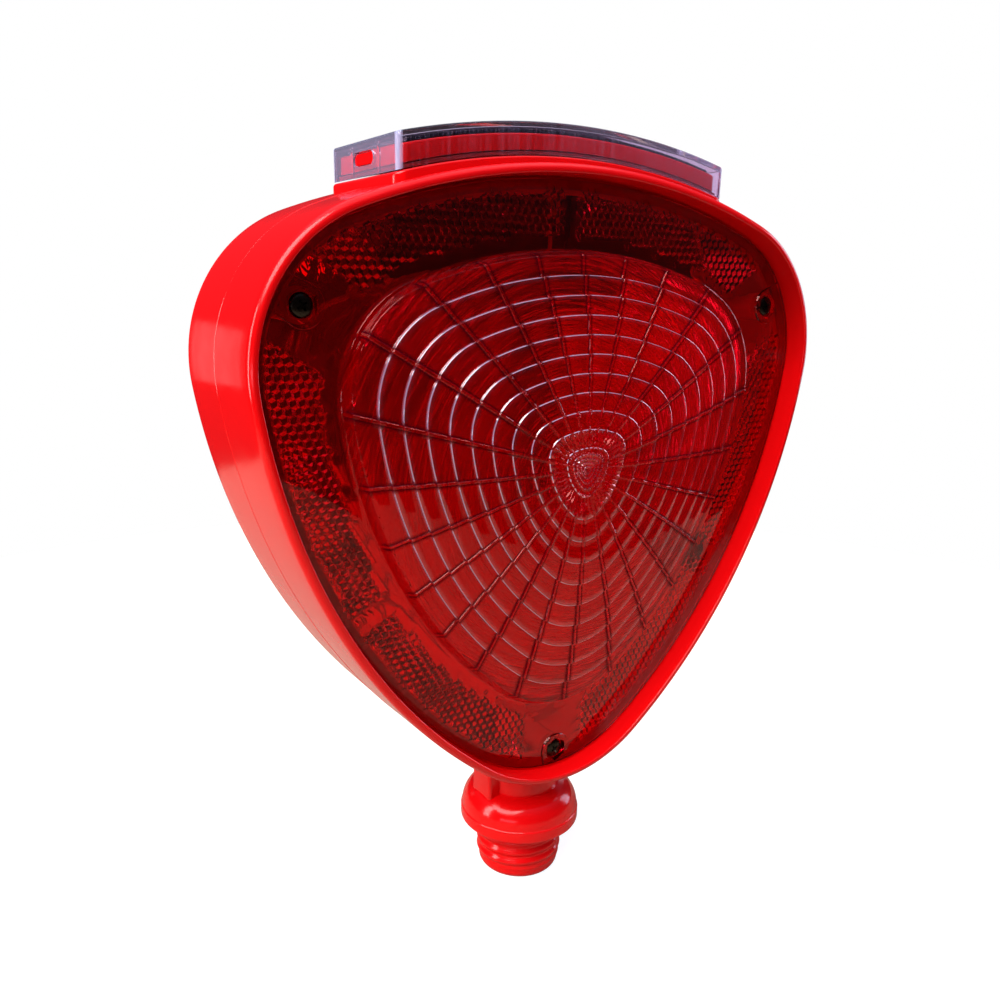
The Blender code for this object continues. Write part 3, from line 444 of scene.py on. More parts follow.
def outline_arcs():
    """Right half of the outline as (centre, radius, start, end), from the bottom to the top."""
    side = side_arc()
    top = Vector((0.0, HIGH_CENTRE[1] - math.sqrt((TOP_RADIUS - HIGH_RADIUS) ** 2 - HIGH_CENTRE[0] ** 2)))
    low_end, high_start = heading(side, LOW_CENTRE), heading(side, HIGH_CENTRE)
    high_end = heading(top, HIGH_CENTRE)
    return [
        (Vector(LOW_CENTRE), LOW_RADIUS, -math.pi / 2, low_end),
        (side, SIDE_RADIUS, low_end, high_start),
        (Vector(HIGH_CENTRE), HIGH_RADIUS, high_start, high_end),
        (top, TOP_RADIUS, high_end, math.pi / 2),
    ]


ARCS = outline_arcs()


def outline(offset, spacing=1.3):
    """The outline moved in by an offset, as a closed loop of (x, z)."""
    right = []
    for centre, radius, start, end in ARCS:
        steps = max(2, round(radius * (end - start) / spacing))
        for k in range(steps):
            t = start + (end - start) * k / steps
            inner = radius - offset
            right.append((centre.x + inner * math.cos(t), centre.y + inner * math.sin(t)))
    top = (0.0, ARCS[3][0].y + TOP_RADIUS - offset)
    return right + [top] + [(-x, z) for x, z in reversed(right[1:])]


def reach(turn, offset=0.0):
    """Distance from the lens centre to the outline moved in by an offset. Turns start straight up."""
    ray = Vector((abs(math.sin(turn)), math.cos(turn)))
    best = 0.0
    for centre, radius, start, end in ARCS:
        along = ray.dot(centre)
        distance = along + math.sqrt(max(along ** 2 - centre.length_squared + (radius - offset) ** 2, 0.0))
        angle = math.atan2(ray.y * distance - centre.y, ray.x * distance - centre.x)
        if start - 1e-9 <= angle <= end + 1e-9:
            best = distance
    return best


def in_plane(x, depth, z):
    """A point of the lens plane in metres."""
    return Vector((x, -depth, LENS_Z + z)) * MM


def arc_height(arc, x):
    """Height at x of an arc given as (radius, height at its middle)."""
    radius, middle = arc
    return middle - radius + math.sqrt(radius ** 2 - x ** 2)


def screw_places():
    """Right, left and low screw as (x, z)."""
    turns = [math.radians(angle) for angle in (30, 150, 270)]
    return [(SCREW_CIRCLE * math.cos(t), SCREW_CIRCLE * math.sin(t) - SCREW_DROP) for t in turns]


# ---------------------------------------- housing
def wall_profile():
    """Half of the wall's section as (offset, depth), from the parting line to the rim and the ledge."""
    draft, shoulder = 0.22, 22.3
    half = [(0.0, 0.0), (0.0, 0.10), (0.07, 0.22), (0.10, 6.0), (0.14, 12.0), (0.18, 18.0), (draft, shoulder)]
    for k in range(1, 9):
        t = math.radians(90 * k / 8)
        half.append((draft + 1.75 * (1 - math.cos(t)), shoulder + (HALF_DEPTH - shoulder) * math.sin(t)))
    lip, lip_round = 2.25, 0.45
    for k in range(5):
        t = math.radians(90 * k / 4)
        half.append((lip + lip_round * math.sin(t), HALF_DEPTH - lip_round * (1 - math.cos(t))))
    half += [(2.75, 20.0), (2.85, 16.0), (2.95, LEDGE_FACE + 0.5), (3.15, LEDGE_FACE + 0.12),
             (3.6, LEDGE_FACE)]
    half += [(LEDGE_WIDTH - 0.3, LEDGE_FACE), (LEDGE_WIDTH, LEDGE_FACE - 0.3),
             (LEDGE_WIDTH, LEDGE_BACK + 0.3), (LEDGE_WIDTH - 0.3, LEDGE_BACK)]
    half += [(3.4, LEDGE_BACK), (2.95, LEDGE_BACK - 0.5), (2.9, 5.0), (2.9, 0.0)]
    return half


def housing_shell():
    half = wall_profile()
    section = half + [(offset, -depth) for offset, depth in reversed(half[1:-1])]
    loops = [[in_plane(x, depth, z) for x, z in outline(offset)] for offset, depth in section]
    return loft("housing_shell", loops, ring=True)


def plan_grid(half, corner, inset, columns=48, rows=12):
    """Points (x, y) of a rounded rectangle, as columns across and rows along its width."""
    half_x, half_y = half[0] - inset, half[1] - inset
    corner = max(corner - inset, 0.05)
    ends = [half_x - corner * (1 - math.cos(math.radians(90 * k / 6))) for k in range(7)]
    middle = [ends[-1] * (1 - 2 * k / columns) for k in range(1, columns)]
    across = ends + middle + [-x for x in reversed(ends)]
    grid = []
    for x in across:
        past = max(0.0, abs(x) - (half_x - corner))
        width = half_y - corner + math.sqrt(max(corner ** 2 - past ** 2, 0.0))
        grid.append([(x, width * (1 - 2 * k / rows)) for k in range(rows + 1)])
    return grid


def rim_of(grid):
    """Indices of a grid's border, in order around it."""
    wide, deep = len(grid), len(grid[0])
    loop = [(i, 0) for i in range(wide)] + [(wide - 1, j) for j in range(1, deep)]
    loop += [(i, deep - 1) for i in range(wide - 2, -1, -1)] + [(0, j) for j in range(deep - 2, 0, -1)]
    return loop


def grid_faces(wide, deep, first):
    corners = [first + i * deep + j for i in range(wide - 1) for j in range(deep - 1)]
    return [(c, c + deep, c + deep + 1, c + 1) for c in corners]


def arched_shell(name, half, corner, foot, top, wall=0.0, edge=0.5, columns=48):
    """A box whose foot and top follow arcs; hollow from below when it has a wall, else solid."""
    points, faces = [], []

    def add_points(places, arc, drop):
        start = len(points)
        points.extend(Vector((x, y, LENS_Z + arc_height(arc, x) - drop)) * MM for x, y in places)
        return start

    def add_loop(inset, arc, drop):
        grid = plan_grid(half, corner, inset, columns)
        return add_points([grid[i][j] for i, j in rim_of(grid)], arc, drop)

    def add_lid(inset, arc, drop):
        grid = plan_grid(half, corner, inset, columns)
        start = add_points([place for column in grid for place in column], arc, drop)
        faces.extend(grid_faces(len(grid), len(grid[0]), start))

    def add_skin(inset, roll):
        """Side walls, a rolled top edge and a lid; returns the first point and the number in a loop."""
        loops = [add_loop(inset, foot, 0.0), add_loop(inset, top, inset + roll)]
        for k in (1, 2, 3):
            t = math.radians(30 * k)
            loops.append(add_loop(inset + roll * (1 - math.cos(t)), top, inset + roll * (1 - math.sin(t))))
        for first, second in zip(loops, loops[1:]):
            faces.extend(band(first, second, loops[1] - loops[0]))
        add_lid(inset + roll, top, inset)
        return loops[0], loops[1] - loops[0]

    outer, count = add_skin(0.0, edge)
    if wall:
        inner, _ = add_skin(wall, max(edge - wall, 0.3))
        faces.extend(band(outer, inner, count))
    else:
        add_lid(0.0, foot, 0.0)
    return new_object(name, to_mesh(name, points, faces))


def stem_radius(z, turn):
    """Outer radius of the stem, flange, bell and column at a height and a turn about the axis."""
    if z >= BELL_TOP:
        return COLUMN_RADIUS
    if z > FLANGE_EDGE:
        share = (z - FLANGE_EDGE) / (BELL_TOP - FLANGE_EDGE)
        return COLUMN_RADIUS + (FLANGE_RADIUS - 0.35 - COLUMN_RADIUS) * math.sqrt(1 - share ** 2)
    if z > 0.0:
        edge = min(z, FLANGE_EDGE - z, 0.6) / 0.6
        return FLANGE_RADIUS - FLANGE_ROUND + FLANGE_ROUND * math.sqrt(1 - (1 - edge) ** 2)
    gap_above, gap_below, fade_in, fade_out = 1.2, 1.6, 1.2, 2.0
    along = -z - gap_above
    thread_end = STEM_LENGTH - STEM_TIP - gap_below
    rise = 0.0
    if 0.0 < along < thread_end:
        phase = (along / THREAD_PITCH + turn / (2 * math.pi)) % 1.0
        fade = min(1.0, along / fade_in, (thread_end - along) / fade_out)
        rise = (THREAD_RADIUS - THREAD_CORE) * (0.5 - 0.5 * math.cos(2 * math.pi * phase)) * fade
    radius = THREAD_CORE + rise
    if z < -STEM_LENGTH + STEM_TIP:
        share = (-STEM_LENGTH + STEM_TIP - z) / STEM_TIP
        radius = THREAD_CORE - TIP_TAPER * (1 - math.sqrt(max(1 - share ** 2, 0.0)))
    return radius


def stem_body():
    """Threaded stem, flange, bell and column, as one turned grid with a bore from below."""
    swell = BELL_TOP - FLANGE_EDGE
    heights = [NECK_TOP - 0.4, 20.0, 16.0, BELL_TOP + 0.2]
    heights += [FLANGE_EDGE + swell * math.cos(math.radians(90 * k / 14)) for k in range(1, 14)]
    heights += [FLANGE_EDGE + 0.02] + [FLANGE_EDGE - d for d in (0.02, 0.15, 0.35, 0.6, 2.0)]
    heights += [0.6, 0.35, 0.15, 0.02]
    straight = STEM_LENGTH - STEM_TIP
    heights += [-0.02 - (straight - 0.02) * k / 74 for k in range(75)]
    heights += [-straight - STEM_TIP * math.sin(math.radians(90 * k / 8)) for k in range(1, 9)]
    turns = full_turn(120)
    loops = []
    for z in heights:
        radii = [stem_radius(z, t) for t in turns]
        loops.append([Vector((r * math.cos(t), r * math.sin(t), z)) * MM for r, t in zip(radii, turns)])
    hollow = [(STEM_BORE + 0.4, -STEM_LENGTH), (STEM_BORE, -STEM_LENGTH + 0.4),
              (STEM_BORE, BORE_TOP - 0.5), (STEM_BORE - 1.0, BORE_TOP)]
    loops += [[p * MM for p in circle(radius, z, turns)] for radius, z in hollow]
    return loft("stem_body", loops)


def neck_web():
    """Flat web between the flange and the housing, flaring where it meets them."""
    foot, flare_start, levels = 3.6, 19.0, 24
    loops = []
    for k in range(levels + 1):
        z = foot + (NECK_TOP - foot) * k / levels
        flare = 2.6 * max(0.0, (z - flare_start) / (NECK_TOP - flare_start)) ** 2
        swell = 0.6 * max(0.0, 1 - (z - foot) / 5.0) ** 2
        side_x, side_y = NECK_HALF_WIDTH + flare + swell - 1.3, NECK_HALF_DEPTH + 0.6 * flare - 1.0
        loop = []
        for turn, (sx, sy) in enumerate(((1, 1), (-1, 1), (-1, -1), (1, -1))):
            for part in range(6):
                t = math.radians(90 * turn + 18 * part)
                loop.append(Vector((sx * side_x + math.cos(t), sy * side_y + math.sin(t), z)) * MM)
        loops.append(loop)
    return loft("neck_web", loops)


def rod(name, place, radius, start, end, steps):
    """A round rod along the depth axis through a place of the lens plane."""
    lay = Matrix.Translation((place[0], 0, LENS_Z + place[1])) @ Matrix.Rotation(math.radians(90), 4, "X")
    return turned(name, [(radius, max(start, end)), (radius, min(start, end))], steps, lay)


def wall_frame():
    """Frame of the push switch: origin on the wall's outer face, +Z out of it."""
    centre, radius = ARCS[1][0], ARCS[1][1]
    angle = math.radians(SWITCH_ANGLE)
    out = Vector((math.cos(angle), 0.0, math.sin(angle)))
    across = Vector((0.0, 1.0, 0.0))
    turn = Matrix((across.cross(out), across, out)).transposed().to_4x4()
    return Matrix.Translation(Vector((centre.x, 0.0, LENS_Z + centre.y)) + radius * out) @ turn


SWITCH = wall_frame()


def make_housing():
    shell = housing_shell()
    pedestal = arched_shell("pedestal", PEDESTAL_HALF, 3.4, (TOP_RADIUS, 77.8), PEDESTAL_ARC, edge=0.7)
    boss_end = LEDGE_FACE - 0.05
    bosses = [rod("boss", place, BOSS_RADIUS, boss_end, -boss_end, 40) for place in screw_places()]
    combine(shell, [pedestal, stem_body(), neck_web()] + bosses, "UNION")
    cuts = [rod("bore", place, SCREW_HOLE, side * SCREW_BORE_START, side * (LEDGE_FACE + 1), 24)
            for place in screw_places() for side in (-1, 1)]
    cuts.append(turned("switch_hole", [(SWITCH_HOLE, 4.0), (SWITCH_HOLE, -6.0)], 48, SWITCH))
    combine(shell, cuts, "DIFFERENCE")
    shell.name = "lamp_housing"
    piece(shell, "red", "housing", sharp=28)


# ---------------------------------------- lenses
def dome_height(share):
    """Height of the dome's ring tops at a share of its outline."""
    return DOME_RISE - DOME_FALL * share ** 3


def dome_rows():
    """The dome's stepped outside, from its foot to the hub: see add_row in make_lens."""
    rows = []

    def add(share, height, rib=0.0, tooth=0.0, crest=0.0):
        rows.append(dict(share=share, height=height, rib=rib, tooth=tooth, crest=crest))

    for foot in ((1.006, 0.03, 0.0), (0.998, 0.12, 0.2), (0.993, 0.5, 0.5), (0.985, 1.8, 1.0)):
        add(*foot)
    edges = [RING_FIRST - RING_PITCH * k for k in range(RING_COUNT)]
    tops = [dome_height(share) for share in edges]
    for out, drop in ((0.009, 0.55), (0.0065, 0.2), (0.003, 0.04), (-0.001, 0.0)):
        add(edges[0] + out, tops[0] - drop, 1.0)
    roll = 0.0038
    for k in range(RING_COUNT - 1):
        start, end, low, top = edges[k], edges[k + 1], tops[k], tops[k + 1]
        foot = top - (0.35 + 0.55 * (top - low))
        rib = 1.0 if k < 7 else (1.0 - (k - 6) * 0.22)
        crown = 2.2 if k == RING_COUNT - 2 else 0.0
        for t in (0.25, 0.5, 0.75):
            add(start + (end + 2 * roll - start) * t, low + (foot - low) * t, rib, crown)
        # The crest values set the coat and the painted lilac highlight on each ring's crest.
        for out, height, crest in ((2.0, foot, 0.0), (1.55, foot + 0.05, 0.2), (1.3, foot + 0.18, 0.5),
                                   (1.05, top - 0.16, 0.9), (0.8, top - 0.05, 1.0), (0.3, top, 0.2)):
            add(end + out * roll, height, rib, 0.0, crest)
    hub = dome_height(0.0)
    for share, drop, tooth in ((0.097, 0.30, 0.6), (0.090, 0.32, 1.0), (0.083, 0.32, 0.5)):
        add(share, hub - drop, tooth=tooth)
    for share in (0.074, 0.054, 0.034, 0.016):
        # The hub's crest values set its coat and its painted lilac highlight.
        for out, rise, crest in ((0.004, -0.16, 0.0), (0.001, 0.08, 0.6),
                                 (-0.004, 0.10, 0.3), (-0.010, -0.02, 0.0)):
            add(share + out, hub + rise, crest=crest)
    return rows


def inner_rows():
    """The dome's smooth inside, swelling inwards between the ribs."""
    rows = [(1.000, -LENS_THICK + 0.02, 0.0), (0.990, -2.1, 0.0), (0.975, -0.9, 0.0), (0.962, 0.6, 0.1)]
    levels = 22
    for k in range(levels):
        share = 0.945 * (1 - k / levels)
        rows.append((share, dome_height(share) - DOME_THICK, 1.0))
    return [dict(share=share, height=height, swell=swell) for share, height, swell in rows]


RIB_COLUMNS = (-1.0, -0.5, 0.0, 0.5, 1.0)
PLAIN_COLUMNS = 10


def sector_columns(radius):
    """Every column at a radius as (turn, rib height, place in its sector), in order from straight up."""
    pitch = 2 * math.pi / RIB_COUNT
    half = min(RIB_HALF_WIDTH / max(radius, 1.0), pitch * 0.2)
    columns = []
    for sector in range(RIB_COUNT):
        middle = sector * pitch
        for share in RIB_COLUMNS:
            columns.append((middle + share * half, 1 - share ** 4, 0.0))
        for k in range(PLAIN_COLUMNS):
            t = (k + 1) / (PLAIN_COLUMNS + 1)
            columns.append((middle + half + (pitch - 2 * half) * t, 0.0, t))
    return columns


GROUP = len(RIB_COLUMNS) + PLAIN_COLUMNS
COLUMN_COUNT = RIB_COUNT * GROUP
EDGE_TURNS = [turn for turn, rib, place in sector_columns(70.0)]
EDGE_REACH = [reach(turn, LENS_CLEARANCE) for turn in EDGE_TURNS]
DOME_TURNS = np.linspace(0, 2 * math.pi, 721)
DOME_REACH = np.array([DOME_SHARE * reach(t, LENS_CLEARANCE) for t in DOME_TURNS])


def dome_reach(turn):
    """Reach of the dome's outline, every half degree and straight between."""
    return float(np.interp(turn % (2 * math.pi), DOME_TURNS, DOME_REACH))


def radial(distance, turn):
    """A place (x, z) of the lens plane."""
    return distance * math.sin(turn), distance * math.cos(turn)


def tongue(place, radius):
    """Outline of the raised tongue round a screw, running out towards the lens edge."""
    x, z = place
    out = math.atan2(z + SCREW_DROP, x)
    ahead = Vector((math.cos(out), math.sin(out)))
    side = Vector((-ahead.y, ahead.x))
    turn = math.atan2(x, z)
    length = reach(turn, LENS_CLEARANCE) - math.hypot(x, z) - TONGUE_MARGIN - (TONGUE_RADIUS - radius)
    loop = []
    for k in range(17):
        t = math.radians(90 + 180 * k / 16)
        loop.append(Vector(place) + radius * (math.cos(t) * ahead + math.sin(t) * side))
    for sign in (-1, 1):
        loop.append(Vector(place) + length * ahead + sign * (radius - TONGUE_TAPER) * side)
    return [(p.x, p.y) for p in loop]


def round_hole(place, radius, steps=24):
    """A circle of the lens plane, from straight up."""
    return [(place[0] + radius * math.sin(t), place[1] + radius * math.cos(t)) for t in full_turn(steps)]


def hexagon(place, steps=4):
    """Six-sided recess, with its sides divided so that it matches a round hole's points."""
    corners = [Vector(corner) for corner in round_hole(place, HEX_ACROSS / math.sqrt(3), 6)]
    loop = []
    for first, second in zip(corners, corners[1:] + corners[:1]):
        for k in range(steps):
            point = first + (second - first) * k / steps
            loop.append((point.x, point.y))
    return loop


class Sheet:
    """A flat patch between loops, triangulated; the inside of each hole loop is left open."""

    def __init__(self):
        self.places, self.heights, self.edges, self.holes = [], [], [], []

    def add_loop(self, loop, height, hole=False):
        first = len(self.places)
        self.places += [Vector(p) for p in loop]
        self.heights += [height] * len(loop)
        self.edges += [(first + k, first + (k + 1) % len(loop)) for k in range(len(loop))]
        if hole:
            self.holes.append(set(range(first, first + len(loop))))

    def triangles(self):
        """Its points, their heights and its triangles, less those that lie in a hole."""
        points, _, faces, origin, _, _ = delaunay_2d_cdt(self.places, self.edges, [], 0, 1e-5)
        heights = [self.heights[o[0]] if o else self.heights[0] for o in origin]

        def inside(face, hole):
            return all(any(o in hole for o in origin[v]) for v in face)

        kept = [face for face in faces if not any(inside(face, hole) for hole in self.holes)]
        return points, heights, kept


def honeycomb(sheet, plane):
    """Add the reflex cells' corners, middles and edges to the lens flange's inner sheet."""
    radius = CELL_PITCH / math.sqrt(3)
    corners, cells = {}, []
    half_width, half_height = 95, 105
    rows, columns = round(half_height / (1.5 * radius)), round(half_width / CELL_PITCH)
    for row in range(-rows, rows):
        for column in range(-columns, columns + 1):
            middle = (CELL_PITCH * (column + 0.5 * (row % 2)), 1.5 * radius * row)
            if not cell_fits(*middle):
                continue
            ring = []
            for k, point in enumerate(round_hole(middle, radius, 6)):
                key = (round(point[0] * 20), round(point[1] * 20))
                corners.setdefault(key, [point, 0, k % 2])
                corners[key][1] += 1
                ring.append(key)
            cells.append((middle, ring))
    index = {}
    for key, (point, uses, deep) in corners.items():
        index[key] = len(sheet.places)
        sheet.places.append(Vector(point))
        sheet.heights.append(plane - (CELL_DEPTH * 0.5 if deep and uses == 3 else 0.0))
    for middle, ring in cells:
        centre = len(sheet.places)
        sheet.places.append(Vector(middle))
        sheet.heights.append(plane - CELL_DEPTH)
        for first, second in zip(ring, ring[1:] + ring[:1]):
            sheet.edges += [(index[first], index[second]), (index[first], centre)]


def cell_fits(x, z):
    """True where a reflex cell has room: off the dome, the edge, the screws and the middles of the sides."""
    distance, turn = math.hypot(x, z), math.atan2(x, z)
    if not dome_reach(turn) + CELL_OFF_DOME <= distance <= reach(turn, LENS_CLEARANCE) - CELL_OFF_EDGE:
        return False
    for place in screw_places():
        ahead = Vector(place).normalized()
        offset = Vector((x, z)) - Vector(place)
        aside = abs(offset.x * -ahead.y + offset.y * ahead.x)
        if aside < SCREW_PATCH[0] and offset.dot(ahead) > -SCREW_PATCH[1]:
            return False
    for angle in (0, 120, 240):
        t = math.radians(angle)
        if abs(x * math.cos(t) - z * math.sin(t)) < CELL_GAP and x * math.sin(t) + z * math.cos(t) > 0:
            return False
    return True


def make_lens(name, node_name, turn):
    """A lens: a stepped dome, and a flange with tongues, screw recesses and reflex cells."""
    points, values = [], []
    outer, inner, cells = [], [], []

    def add(place, height, crest=0.0, rib_shade=0.0):
        x, z = place
        points.append(turn @ in_plane(x, LENS_FACE + height, z))
        values.append((math.hypot(x, z), math.atan2(x, z), crest, rib_shade))

    def add_row(share, height, rib=0.0, tooth=0.0, crest=0.0, swell=0.0):
        """One row round the dome, at a share of its outline.

        rib and tooth scale the ribs and the hub's teeth, crest is how far the row is on a ring's crest, which
        sets its coat and its painted lilac highlight, and swell thickens the dome inwards between the ribs.
        """
        first = len(points)
        for column, (angle, ridge, place) in enumerate(sector_columns(share * DOME_REACH.mean())):
            in_sector = column % GROUP
            bulge = swell * SECTOR_SWELL * share ** 0.5 * (1 - (2 * place - 1) ** 2 if place else 0.0)
            teeth = TOOTH_HEIGHT * tooth * math.cos(TOOTH_COUNT * angle)
            raised = height + RIB_HEIGHT * rib * ridge - bulge + teeth
            # bright: the crest's coat and painted lilac highlight, weaker on the ribs.
            bright = crest * (CREST_ON_RIB if in_sector < len(RIB_COLUMNS) else 1.0)
            # The ribs' side columns get painted shade, as strong as the rib.
            rib_shade = rib if in_sector in (0, len(RIB_COLUMNS) - 1) else 0.0
            add(radial(share * dome_reach(angle), angle), raised, bright, rib_shade)
        return first

    def add_dome(rows, hub_height, target):
        starts = [add_row(**row) for row in rows]
        for first, second in zip(starts, starts[1:]):
            target.extend(band(first, second, COLUMN_COUNT))
        hub = len(points)
        add((0.0, 0.0), hub_height)
        last = starts[-1]
        target.extend((last + k, last + (k + 1) % COLUMN_COUNT, hub) for k in range(COLUMN_COUNT))

    def add_sheet(sheet, target):
        places, heights, triangles = sheet.triangles()
        first = len(points)
        for place, height in zip(places, heights):
            add(place, height)
        target.extend(tuple(first + v for v in triangle) for triangle in triangles)

    def add_wall(rows):
        starts = []
        for loop, height in rows:
            starts.append(len(points))
            for place in loop:
                add(place, height)
        for first, second in zip(starts, starts[1:]):
            outer.extend(band(first, second, len(rows[0][0])))

    def dome_loop(share):
        """The points of a dome row, as places."""
        columns = sector_columns(share * DOME_REACH.mean())
        return [radial(share * dome_reach(angle), angle) for angle, _, _ in columns]

    def edge_loop(inset):
        return [radial(distance - inset, angle) for distance, angle in zip(EDGE_REACH, EDGE_TURNS)]

    add_dome(dome_rows(), dome_height(0.0) + 0.02, outer)
    add_dome(inner_rows(), dome_height(0.0) - DOME_THICK, inner)

    # outer flange, with a raised tongue and a six-sided recess round each screw
    front = Sheet()
    front.add_loop(dome_loop(1.006), 0.03, True)
    front.add_loop(dome_loop(1.022), 0.0)
    front.add_loop(edge_loop(EDGE_ROUND), 0.0)
    for place in screw_places():
        front.add_loop(tongue(place, TONGUE_RADIUS), 0.0)
        front.add_loop(tongue(place, TONGUE_RADIUS - TONGUE_BEVEL), TONGUE_RISE)
        front.add_loop(hexagon(place), TONGUE_RISE, True)
    add_sheet(front, outer)

    # inner flange, with the reflex cells
    back = Sheet()
    back.add_loop(dome_loop(1.000), -LENS_THICK + 0.02, True)
    back.add_loop(dome_loop(1.012), -LENS_THICK)
    back.add_loop(edge_loop(BACK_ROUND), -LENS_THICK)
    for place in screw_places():
        back.add_loop(round_hole(place, SCREW_HOLE), -LENS_THICK, True)
    honeycomb(back, -LENS_THICK)
    add_sheet(back, cells)

    add_wall([(edge_loop(EDGE_ROUND), 0.0), (edge_loop(0.09), -0.09), (edge_loop(0.0), -EDGE_ROUND),
              (edge_loop(0.0), -LENS_THICK + BACK_ROUND), (edge_loop(BACK_ROUND), -LENS_THICK)])
    for place in screw_places():
        add_wall([(hexagon(place), TONGUE_RISE), (hexagon(place), -HEX_DEPTH),
                  (round_hole(place, SCREW_HOLE), -HEX_DEPTH), (round_hole(place, SCREW_HOLE), -LENS_THICK)])

    mesh = bpy.data.meshes.new(name)
    mesh.from_pydata([tuple(p) for p in points], [], outer + inner + cells)
    mesh.polygons.foreach_set("material_index", [0] * len(outer) + [1] * len(inner) + [2] * len(cells))
    # The last two values carry the painted crest highlight and the painted shade on the ribs' feet.
    store_values(mesh, values, {"ring": 1.3, "turn": 3.0, "crest": 1.0, "rib_shade": 1.0})
    weld(mesh, 4e-6)
    piece(new_object(name, mesh), "red_lens", node_name,
          materials=("red_lens", "red_lens_inner", "red_lens_cells"), sharp=40)


def store_values(mesh, values, scales):
    """Store a row of values for each point, scaled, under the names that the materials read."""
    table = np.array(values, dtype=np.float32) * np.array(list(scales.values()), dtype=np.float32)
    for label, column in zip(scales, table.T):
        mesh.attributes.new(label, "FLOAT", "POINT").data.foreach_set("value", np.ascontiguousarray(column))


def make_screw(name, node_name, seat, direction):
    """Pan head screw with a cross recess and a fine thread; seat is under its head."""
    length, head, core, crest, pitch = 13.0, 3.0, 1.15, 1.55, 0.9
    profile = []
    for k in range(7):
        t = math.radians(90 * k / 6)
        profile.append((head * math.sin(t) * 0.98 + 0.001, 0.55 + 0.85 * math.cos(t)))
    profile += [(head, 0.45), (head, 0.05), (head - 0.1, 0.0), (1.4, 0.0)]
    for k in range(2 * (int(length / pitch) - 1)):
        profile.append((crest if k % 2 else core, -0.4 - 0.5 * pitch * k))
    profile += [(core, -length + 1.2), (0.2, -length)]
    aim = (-Vector(direction)).to_track_quat("Z", "Y").to_matrix().to_4x4()
    place = Matrix.Translation(Vector(seat)) @ aim
    body = turned(name, profile, 36, place)
    slots = []
    for angle in (0.5, 0.5 + math.pi / 2):
        slot = bmesh.new()
        bmesh.ops.create_cube(slot, size=1.0)
        for vertex in slot.verts:
            narrow = 0.55 if vertex.co.z < 0 else 1.0
            vertex.co = Vector((vertex.co.x * 3.2 * narrow, vertex.co.y * 0.62, 1.1 + vertex.co.z * 1.4))
        bmesh.ops.transform(slot, matrix=place @ Matrix.Rotation(angle, 4, "Z"), verts=slot.verts)
        bmesh.ops.scale(slot, vec=(MM, MM, MM), verts=slot.verts)
        mesh = bpy.data.meshes.new("slot")
        slot.to_mesh(mesh)
        slot.free()
        slots.append(new_object("slot", mesh))
    combine(body, slots, "DIFFERENCE")
    piece(body, "steel", node_name, materials=("dark_steel",))


def make_lens_screws():
    for label, side in (("front", 1), ("rear", -1)):
        for corner, place in zip(("right", "left", "low"), screw_places()):
            seat = (place[0], -side * (LENS_FACE - HEX_DEPTH + 0.1), LENS_Z + place[1])
            name = f"{label}_lens_screw_{corner}"
            make_screw(name + "_visual", name, seat, (0, side, 0))


# ---------------------------------------- solar unit
def pill(place, half, length):
    """A rounded bar lying along Y with its ends rounded, for a latch or its slot."""
    loops = []
    for x in (-length / 2, length / 2):
        loop = []
        for t in full_turn(24):
            y = half[1] * math.cos(t) + math.copysign(half[0] - half[1], math.cos(t))
            loop.append((Vector((x, y, half[1] * math.sin(t))) + Vector(place)) * MM)
        loops.append(loop)
    return loft("pill", loops)


def latch_middle():
    """Height of the latches and of their slots: half way up the cover's end wall."""
    return LENS_Z + (arc_height(FOOT_ARC, COVER_HALF[0]) + arc_height(COVER_ARC, COVER_HALF[0])) / 2


def make_cover():
    """Clear cover, with two upright ribs inside each end wall and a slot for the latch between them."""
    cover = arched_shell("cover_shell", COVER_HALF, 1.4, FOOT_ARC, COVER_ARC, wall=1.2, columns=60)
    rib_radius, rib_x, rib_y, wall_x = 0.55, 52.3, 7.4, 52.0
    profile = [(rib_radius, LENS_Z + arc_height(COVER_ARC, wall_x) - 0.6),
               (rib_radius, LENS_Z + arc_height(FOOT_ARC, wall_x) + 0.1)]
    ribs = [turned("rib", profile, 12, Matrix.Translation((side * rib_x, y, 0)))
            for side in (-1, 1) for y in (-rib_y, rib_y)]
    combine(cover, ribs, "UNION")
    slots = [pill((side * 53.0, 0, latch_middle()), (5.6, 1.7), 3.0) for side in (-1, 1)]
    combine(cover, slots, "DIFFERENCE")
    cover.name = "clear_cover"
    piece(cover, "clear", "solar_cover")


def make_tray():
    tray = arched_shell("tray_shell", TRAY_HALF, 2.0, TRAY_LOW, TRAY_HIGH, wall=2.2, columns=60)
    latches = [pill((side * 52.1, 0, latch_middle()), (5.2, 1.3), 2.2) for side in (-1, 1)]
    combine(tray, latches, "UNION")
    tray.name = "red_tray"
    piece(tray, "red", "solar_tray")


def make_panel():
    panel = arched_shell("solar_laminate", PANEL_HALF, 1.0, PANEL_LOW, PANEL_HIGH, edge=0.15)
    piece(panel, "solar_cell", "solar_panel")


